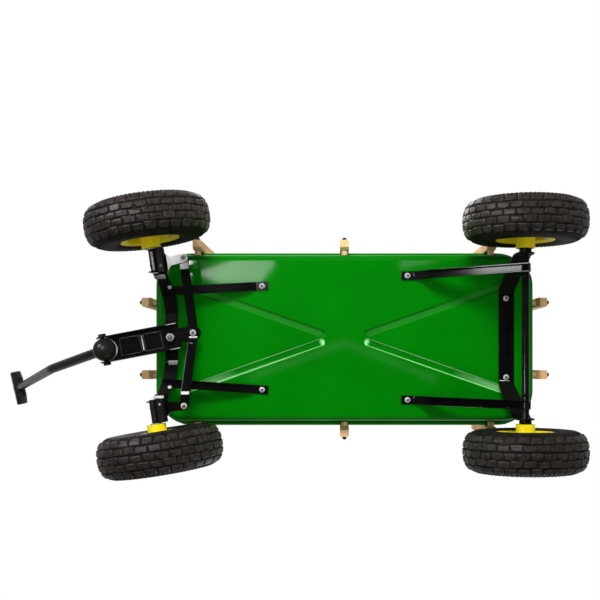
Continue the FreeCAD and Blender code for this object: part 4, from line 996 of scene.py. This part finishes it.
for wheel, outward in (("front_left", 1), ("front_right", -1), ("rear_left", 1), ("rear_right", -1)):
    ease_edges(dress("rim_" + wheel, yellow_enamel), rim_edge_mm)
    hub = hub_place(wheel)
    mesh = bmesh.new()
    for step in range(rim_bolt_count):
        angle = 2 * math.pi * (step + 0.5) / rim_bolt_count
        x = rim_bolt_circle * math.cos(angle)
        z = rim_bolt_circle * math.sin(angle)
        head = hub @ standing((x, -inboard_face * outward, z), (0, -outward, 0))
        hexagon_nut(mesh, head, rim_bolt_flats, rim_bolt_height)
        end = hub @ standing((x, outboard_face * outward, z), (0, outward, 0))
        nut_and_washer(mesh, end, rim_bolt_flats, rim_bolt_height, rim_washer_radius, rim_bolt_radius)
    washer(mesh, hub @ standing((0, -hub_ring_face * outward, 0), (0, -outward, 0)), *hub_ring)
    new_piece("rim_bolts_" + wheel, mesh, (black_cap, cut_steel), "wheel_" + wheel)
    angle = math.radians(valve_turns[wheel])
    foot = (valve_circle * math.cos(angle), -valve_base * outward, valve_circle * math.sin(angle))
    way = (-valve_lean * math.cos(angle), -outward, -valve_lean * math.sin(angle))
    for name, profile, material, slot in (("valve_stem_", valve_stem, valve_rubber, "tyre_rubber"),
                                          ("valve_cap_", valve_cap, zinc, "zinc_steel")):
        mesh = bmesh.new()
        lathe(mesh, hub @ standing(foot, way), profile)
        new_piece(name + wheel, mesh, material, "wheel_" + wheel)

# The tyres: two-ply rubber tyres moulded in a heated steel mould, blown up on their rims. Five
# rows of blocks go round the tread, each row half a block on from the next, with fine ribs
# pressed across the sidewalls. The blocks' lighter grey is partly rubbed rubber and partly a
# painted highlight, and the walls' darker black is painted shade on the same rubber.
tread_pitches = 30
carcass_steps = 120
profile_steps = 28
sidewall_steps = 7
crown_radius = 129.2
widest_radius = 88.0
carcass_half_width = 44.5
shoulder_power = 2.55
inner_reach = 49.6
bead_radius = 52.0
block_height = 3.3
block_root = 0.7
block_edge_steps = (0.0, 0.8, 2.3)
block_edge_lifts = (0.0, 0.72, 1.0)
block_sway = 0.7
block_sway_pace = 2.3
block_spread = 0.07
block_trim = 0.06
scallop_power = 2.6
scallop_share = 0.86
wedge_share = 0.24
rib_count = 72
rib_width = 5.2
# A sidewall rib: the radius and height of its rows, and the share of its width and the sink of
# its columns.
rib_rows = ((103.0, -0.4), (104.0, 0.9), (112.5, 0.9), (113.5, -0.4))
rib_columns = ((-0.5, 1.3), (-0.3, 0.0), (0.3, 0.0), (0.5, 1.3))
tread_grit = (1.8, 3.0, 0.2)
wall_grit = (1.8, 3.0, 0.12)
tread_tone_run = (0.36, 0.64)
# Each row of blocks: their kind, their middle across the tyre, their width and their length round
# it in millimetres, and how far the row is turned on, as a share of one pitch.
left_rows = (
    ("block", 31.5, 15.4, 25.2, 0.0),
    ("scallop", 15.4, 13.6, 26.0, 0.5),
    ("block", 1.6, 12.6, 26.0, 0.0),
    ("block", -12.6, 14.2, 26.0, 0.5),
    ("wedge", -28.0, 15.4, 25.4, 0.0),
)
right_rows = (
    ("wedge", 30.6, 15.2, 25.4, 0.0),
    ("block", 15.4, 14.2, 26.0, 0.5),
    ("scallop", -1.6, 14.6, 26.0, 0.0),
    ("block", -16.4, 14.0, 26.0, 0.5),
    ("wedge", -31.4, 14.6, 25.4, 0.0),
)


def tyre_profile():
    """Points of the plain tyre's section as axial place and radius, bead to bead."""
    outer = []
    for step in range(profile_steps + 1):
        angle = math.pi * step / profile_steps
        across, up = math.cos(angle), math.sin(angle)
        reach = carcass_half_width * math.copysign(abs(across) ** (2 / shoulder_power), across)
        outer.append((reach, widest_radius + (crown_radius - widest_radius) * up ** (2 / shoulder_power)))
    inner = []
    for step in range(1, sidewall_steps + 1):
        radius = widest_radius + (bead_radius - widest_radius) * step / sidewall_steps
        across = carcass_half_width * math.sqrt(1 - ((widest_radius - radius) / inner_reach) ** 2)
        inner.append((across, radius))
    return inner[::-1] + outer + [(-across, radius) for across, radius in inner]


def along_profile(profile):
    """Distances along a section from its crown, positive towards +Y."""
    lengths = [0.0]
    for (y, radius), (next_y, next_radius) in zip(profile, profile[1:]):
        lengths.append(lengths[-1] + math.hypot(next_y - y, next_radius - radius))
    crown = lengths[-1] / 2
    return [crown - length for length in lengths]


def section_point(profile, lengths, reach):
    """The place and outward normal on a section at a distance from its crown."""
    at = [near >= reach >= far for near, far in zip(lengths, lengths[1:])].index(True)
    share = (lengths[at] - reach) / (lengths[at] - lengths[at + 1])
    here, following = Vector(profile[at]), Vector(profile[at + 1])
    run = (following - here).normalized()
    return here.lerp(following, share), Vector((run.y, -run.x))


def reach_of(profile, lengths, across):
    """The distance along a section from its crown to an axial place."""
    for at, ((y, radius), (next_y, _)) in enumerate(zip(profile, profile[1:])):
        if radius > widest_radius and y >= across >= next_y:
            return lengths[at] + (lengths[at + 1] - lengths[at]) * (y - across) / (y - next_y)


def wheel_point(mesh, angle, across, radius):
    """A point of a mesh about the Y axis."""
    return mesh.verts.new((radius * math.sin(angle), across, radius * math.cos(angle)))


def quilt(mesh, grid, material_index=0):
    """Faces between the rows of a grid of points."""
    for near, far in zip(grid, grid[1:]):
        for at in range(len(near) - 1):
            face = mesh.faces.new((near[at], near[at + 1], far[at + 1], far[at]))
            face.material_index = material_index


def pillow_steps(length):
    """The places over a block where its top bends, from edge to edge."""
    return [*block_edge_steps, length / 2, *(length - step for step in reversed(block_edge_steps))]


def tread_block(mesh, profile, lengths, kind, middle, turn, across, along):
    """One block of the tread as a low pillow that follows the tyre's section."""
    lifts = [*block_edge_lifts, 1.0, *reversed(block_edge_lifts)]
    grid = []
    for row, place in enumerate(pillow_steps(across)):
        slide = place / across * 2 - 1
        narrow = 1.0
        if kind == "scallop":
            narrow = math.sqrt(1 - max(0.0, -slide) ** scallop_power * scallop_share)
        elif kind == "wedge":
            narrow = 1 - wedge_share * max(0.0, slide * math.copysign(1, middle))
        point, outward = section_point(profile, lengths, middle + place - across / 2)
        line = []
        for column, run in enumerate(pillow_steps(along)):
            lift = block_height * min(lifts[row], lifts[column]) - block_root
            angle = turn + (run - along / 2) * narrow / crown_radius
            line.append(wheel_point(mesh, angle, *(point + outward * lift)))
        grid.append(line)
    quilt(mesh, grid)


def tyre_mesh(rows):
    """The whole tyre about the Y axis."""
    mesh = bmesh.new()
    profile = tyre_profile()
    lengths = along_profile(profile)
    turns = [2 * math.pi * step / carcass_steps for step in range(carcass_steps)]
    rings = [[wheel_point(mesh, angle, *place) for place in profile] for angle in turns]
    bridge(mesh, rings + rings[:1])
    for face in mesh.faces:
        face.material_index = 1
    for kind, across_place, across, along, shift in rows:
        middle = reach_of(profile, lengths, across_place)
        for pitch in range(tread_pitches):
            turn = 2 * math.pi * (pitch + shift) / tread_pitches
            sway = math.sin(block_sway_pace * pitch + middle)
            tread_block(mesh, profile, lengths, kind, middle + block_sway * sway, turn,
                        across * (1 + block_spread * sway), along * (1 - block_trim * (pitch % 2)))
    for side in (-1, 1):
        for rib in range(rib_count):
            grid = []
            for radius, lift in rib_rows:
                climb = (radius - widest_radius) / (crown_radius - widest_radius)
                across = carcass_half_width * (1 - climb ** shoulder_power) ** (1 / shoulder_power)
                line = []
                for slide, sink in rib_columns:
                    angle = 2 * math.pi * rib / rib_count + slide * rib_width / radius
                    line.append(wheel_point(mesh, angle, side * (across + lift - sink), radius))
                grid.append(line)
            quilt(mesh, grid, 1)
    return mesh


# Tread rubber, lighter than the walls: partly rubbed grey, partly painted highlight.
tread_rubber_painted_light, tree, shader = start_material("tread rubber, rubbed grey with painted light", IOR=1.5, Roughness=0.36,
                                      Specular_IOR_Level=0.5)
two_tone(tree, shader, "#3A3431", "#231F1D", grain(tree, 9.0, 5.0), *tread_tone_run)
dent(tree, shader, [(grain(tree, *tread_grit[:2]), tread_grit[2])])
# Wall rubber, the same rubber darkened as painted shade.
wall_rubber_painted_shade = finish("tyre rubber, darkened as painted shade", ("#24211F", "#181615"), (18.0, 4.0), wall_grit, IOR=1.5,
                     Roughness=0.6, Specular_IOR_Level=0.1)
for wheel, rows in (("front_left", left_rows), ("rear_left", left_rows),
                    ("front_right", right_rows), ("rear_right", right_rows)):
    mesh = tyre_mesh(rows)
    bmesh.ops.transform(mesh, matrix=hub_place(wheel), verts=mesh.verts)
    new_piece("tyre_skin_" + wheel, mesh, (tread_rubber_painted_light, wall_rubber_painted_shade), "wheel_" + wheel,
              ("tyre_" + wheel,))

# The tongue: a steel sheet folded to a channel, painted black, with shallow panels and a cross
# bead pressed in its web for stiffness. Thin grey and white lines along the panels' edges, the
# bead and the flanges are painted highlights. Black bolts hold it at the pivot and the ball. The
# pivot's nut and the bolt at its tail are plated.
panel_half = 19.0
rear_panel = (20.0, 58.0)
front_panel = (66.5, 111.0)
# Rings of a pressed panel: how far inside its outline they lie, and their height off the web.
panel_steps = ((0.0, 0.4), (0.0, 0.0), (1.5, -0.6), (2.0, -0.6))
panel_edge_height = -0.1
panel_edge_radius = 0.42
bead_place = 62.2
bead_height = 0.2
bead_half_length = 16.5
bead_wire_radius = 1.3
web_low = 203.0
pivot_washer_radius = 15.5
pivot_washer_inner = 10.8
pivot_washer_sheet = 2.2
pivot_nut_flats = 14.0
pivot_nut_height = 5.0
pivot_nut_washer_radius = 8.0
pivot_bolt_radius = 6.0
flange_middle = 26.9
flange_low = 183.2
flange_highlight = (-18.5, 26.0)
flange_highlight_radius = 0.7
tail_nut_face = 194.1
tail_head_face = 206.0
black_bolt_edge_mm = 0.8

ease_edges(dress("tongue", black_paint), painted_edge_mm)
ease_edges(dress("pivot_bolt", black_cap), black_bolt_edge_mm)
ease_edges(dress("ball_bolt", black_cap), black_bolt_edge_mm)
bolt_through("tail_bolt_plated", "tongue", "tail_bolt", tail_nut_face, tail_head_face)


def tongue_frame():
    """The tongue's frame as it stands: ahead along its web, left, and up from the floor."""
    left = -Vector(joint_named("handle_lift")["axis"]).normalized()
    return level_frame(Vector((left.y, -left.x, 0.0)), left, joint_place("tongue_steer"))


def panel_ring(span, inset, height):
    """The corners of a panel of the web, or of a smaller one inside it."""
    start, end, side = span[0] + inset, span[1] - inset, panel_half - inset
    return [(x, y, height) for x, y in ((start, -side), (end, -side), (end, side), (start, side))]


tongue = tongue_frame()
web = tongue @ Matrix.Translation((0.0, 0.0, web_low))
pressings = bmesh.new()
edges = bmesh.new()
# Each panel is pressed into the web and ringed by a grey painted highlight along its edge.
for span in (rear_panel, front_panel):
    rings = []
    for inset, height in panel_steps:
        ring = panel_ring(span, inset, height)
        rings.append([pressings.verts.new(web @ Vector(corner)) for corner in ring])
    bridge(pressings, rings)
    pressings.faces.new(rings[-1])
    wire(edges, web, panel_ring(span, 0.0, panel_edge_height), panel_edge_radius, closed=True)
washer(pressings, web @ Matrix.Translation((0.0, 0.0, -pivot_washer_sheet)), pivot_washer_inner,
       pivot_washer_radius, pivot_washer_sheet)
# White painted highlights along the cross bead and the flanges.
highlight_lines = bmesh.new()
bead = [(bead_place, y, bead_height) for y in (-bead_half_length, bead_half_length)]
wire(highlight_lines, web, bead, bead_wire_radius)
for side in (1, -1):
    flange = [(x, flange_middle * side, flange_low - web_low) for x in flange_highlight]
    wire(highlight_lines, web, flange, flange_highlight_radius)
new_piece("tongue_painted_highlight_lines", highlight_lines, white_painted_highlight, "tongue")
new_piece("tongue_panel_painted_highlights", edges, grey_painted_highlight, "tongue")
new_piece("tongue_pressings", pressings, black_paint, "tongue")

pivot = tongue.to_translation()
pivot.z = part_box("pivot_bolt")[0].z * millimetres
mesh = bmesh.new()
nut_and_washer(mesh, standing(pivot, down), pivot_nut_flats, pivot_nut_height, pivot_nut_washer_radius,
               pivot_bolt_radius)
new_piece("pivot_nut", mesh, (zinc, cut_steel), "wagon")

# A painted highlight: an open white ring in the round notch of the tongue's web, behind the ball,
# laid where a glint falls on the notch's edge. It gives the eye a bright crescent beside the black ball.
crescent_section = ((23.4, 203.3), (28.4, 203.3), (28.4, 205.4), (23.4, 205.4))
crescent_half_angle = 78.0
crescent_steps = 24

ball = (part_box("ball")[0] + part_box("ball")[1]) / 2 * millimetres
crescent_place = Matrix.Translation((ball.x, ball.y, 0.0)) @ tongue.to_3x3().to_4x4()
mesh = bmesh.new()
rings = []
for step in range(crescent_steps + 1):
    angle = math.pi + math.radians(crescent_half_angle * (2 * step / crescent_steps - 1))
    turn = Matrix.Rotation(angle, 4, "Z")
    section = [Vector((radius, 0.0, height)) for radius, height in crescent_section]
    rings.append([mesh.verts.new(crescent_place @ turn @ point) for point in section])
bridge(mesh, rings)
mesh.faces.new(rings[0])
mesh.faces.new(rings[-1][::-1])
new_piece("ball_painted_highlight", mesh, white_painted_highlight, "tongue")

# The tie rods: flat steel bars bent at both ends, painted black. At both ends of the right one a
# white patch is a painted highlight, laid on the bends.
rod_highlight = ((108.3, -119.1), (9.5, 3.0))
tail_highlight = ((95.6, 0.4), (9.7, 1.8))

ease_edges(dress("tie_rod_left", black_paint), painted_edge_mm)
right_rod = ease_edges(dress("tie_rod_right", black_paint), painted_edge_mm)
# White painted highlights at both bends of the right rod.
mesh = bmesh.new()
painted_highlight_patch(mesh, right_rod, *rod_highlight)
painted_highlight_patch(mesh, right_rod, *tail_highlight)
new_piece("tie_rod_painted_highlights", mesh, white_painted_highlight, "tie_rod_right")

# The handle: a steel tube bent once, pressed into a moulded ball at the foot and a moulded grip
# at the top. Hard black plastic gives the eye a dark grey satin beside the paint's deep gloss.
handle_lean = -2.0
handle_lower_length = 305.0
handle_upper_length = 574.0
handle_lower_rise = 52.0
handle_upper_rise = 64.1
grip_socket_depth = 24.0
grip_half_length = 48.5
grip_half_neck = 26.5
grip_smooth_half = 7.0
grip_height = 36.0
grip_bevel_height = 19.0
grip_half_thickness = 15.0
grip_round = 6.0
grip_rib_pitch = 5.6
grip_rib_depth = 2.0
grip_station = 0.7
grip_end_round = 3.0
grip_corner_steps = 5
grip_screw_inset = 15.0
grip_screw_height = 22.0
grip_screw_head = (3.4, 0.7, 0.3)
ball_pebble = (3.6, 2.0, 0.006)
grip_pebble = (0.9, 2.0, 0.03)

handle_paint = finish("black paint on steel tube", ("#121112", "#0A090A"), (30.0,), IOR=1.5,
                      Roughness=0.22, Specular_IOR_Level=0.17)
dress("handle_tube", handle_paint)
ball_plastic = finish("black nylon, smooth moulded", ("#1F1E1E", "#191818"), (14.0,), ball_pebble,
                      IOR=1.5, Roughness=0.3)
dress("ball", ball_plastic)
grip_plastic = finish("black polypropylene, moulded with a fine pebble", ("#1B1819", "#0F0D0E"),
                      (5.0, 3.0), grip_pebble, IOR=1.5, Roughness=0.48)


def grip_frame():
    """The grip's frame: across, along its bar, and up the handle's tube."""
    turn = tongue.to_3x3().to_4x4() @ Matrix.Rotation(math.radians(handle_lean), 4, "Z")
    lower = math.radians(handle_lower_rise)
    upper = math.radians(handle_upper_rise)
    bend = Vector((math.cos(lower), 0.0, math.sin(lower))) * handle_lower_length
    run = handle_upper_length - grip_socket_depth
    seat = Matrix.Translation(bend + Vector((math.cos(upper), 0.0, math.sin(upper))) * run)
    tilt = Matrix.Rotation(quarter_turn - upper, 4, "Y")
    return Matrix.Translation(joint_place("handle_lift")) @ turn @ seat @ tilt


def grip_mesh():
    """The T-shaped grip: a thick bar with bevelled lower ends and finger ribs round it."""
    mesh = bmesh.new()
    rings = []
    count = int(grip_half_length * 2 / grip_station)
    for step in range(count + 1):
        along = -grip_half_length + grip_half_length * 2 * step / count
        reach = abs(along)
        bevelled = max(0.0, reach - grip_half_neck) / (grip_half_length - grip_half_neck)
        end = max(0.0, grip_end_round - (grip_half_length - reach))
        pinch = grip_end_round - math.sqrt(grip_end_round ** 2 - end ** 2)
        wave = 0.5 - 0.5 * math.cos(2 * math.pi * along / grip_rib_pitch)
        shrink = pinch + (grip_rib_depth * wave ** 2 if reach > grip_smooth_half else 0.0)
        arc_x = grip_half_thickness - shrink - grip_round
        arc_top = grip_height - shrink - grip_round
        arc_bottom = bevelled * grip_bevel_height + pinch + grip_round
        ring = []
        for middle_x, middle_z, start in ((arc_x, arc_top, 0), (-arc_x, arc_top, 90),
                                          (-arc_x, arc_bottom, 180), (arc_x, arc_bottom, 270)):
            for turn in range(grip_corner_steps):
                angle = math.radians(start + 90 * turn / (grip_corner_steps - 1))
                x = middle_x + grip_round * math.cos(angle)
                ring.append(mesh.verts.new((x, along, middle_z + grip_round * math.sin(angle))))
        rings.append(ring)
    bridge(mesh, rings)
    mesh.faces.new(rings[0])
    mesh.faces.new(rings[-1][::-1])
    return mesh


mesh = grip_mesh()
bmesh.ops.transform(mesh, matrix=grip_frame(), verts=mesh.verts)
new_piece("hand_grip", mesh, grip_plastic, "handle", ("grip",))
mesh = bmesh.new()
for side in (1, -1):
    seat = standing((-grip_screw_inset * side, 0.0, grip_screw_height), (-side, 0, 0))
    dome(mesh, grip_frame() @ seat, *grip_screw_head)
new_piece("grip_screws", mesh, zinc, "handle")
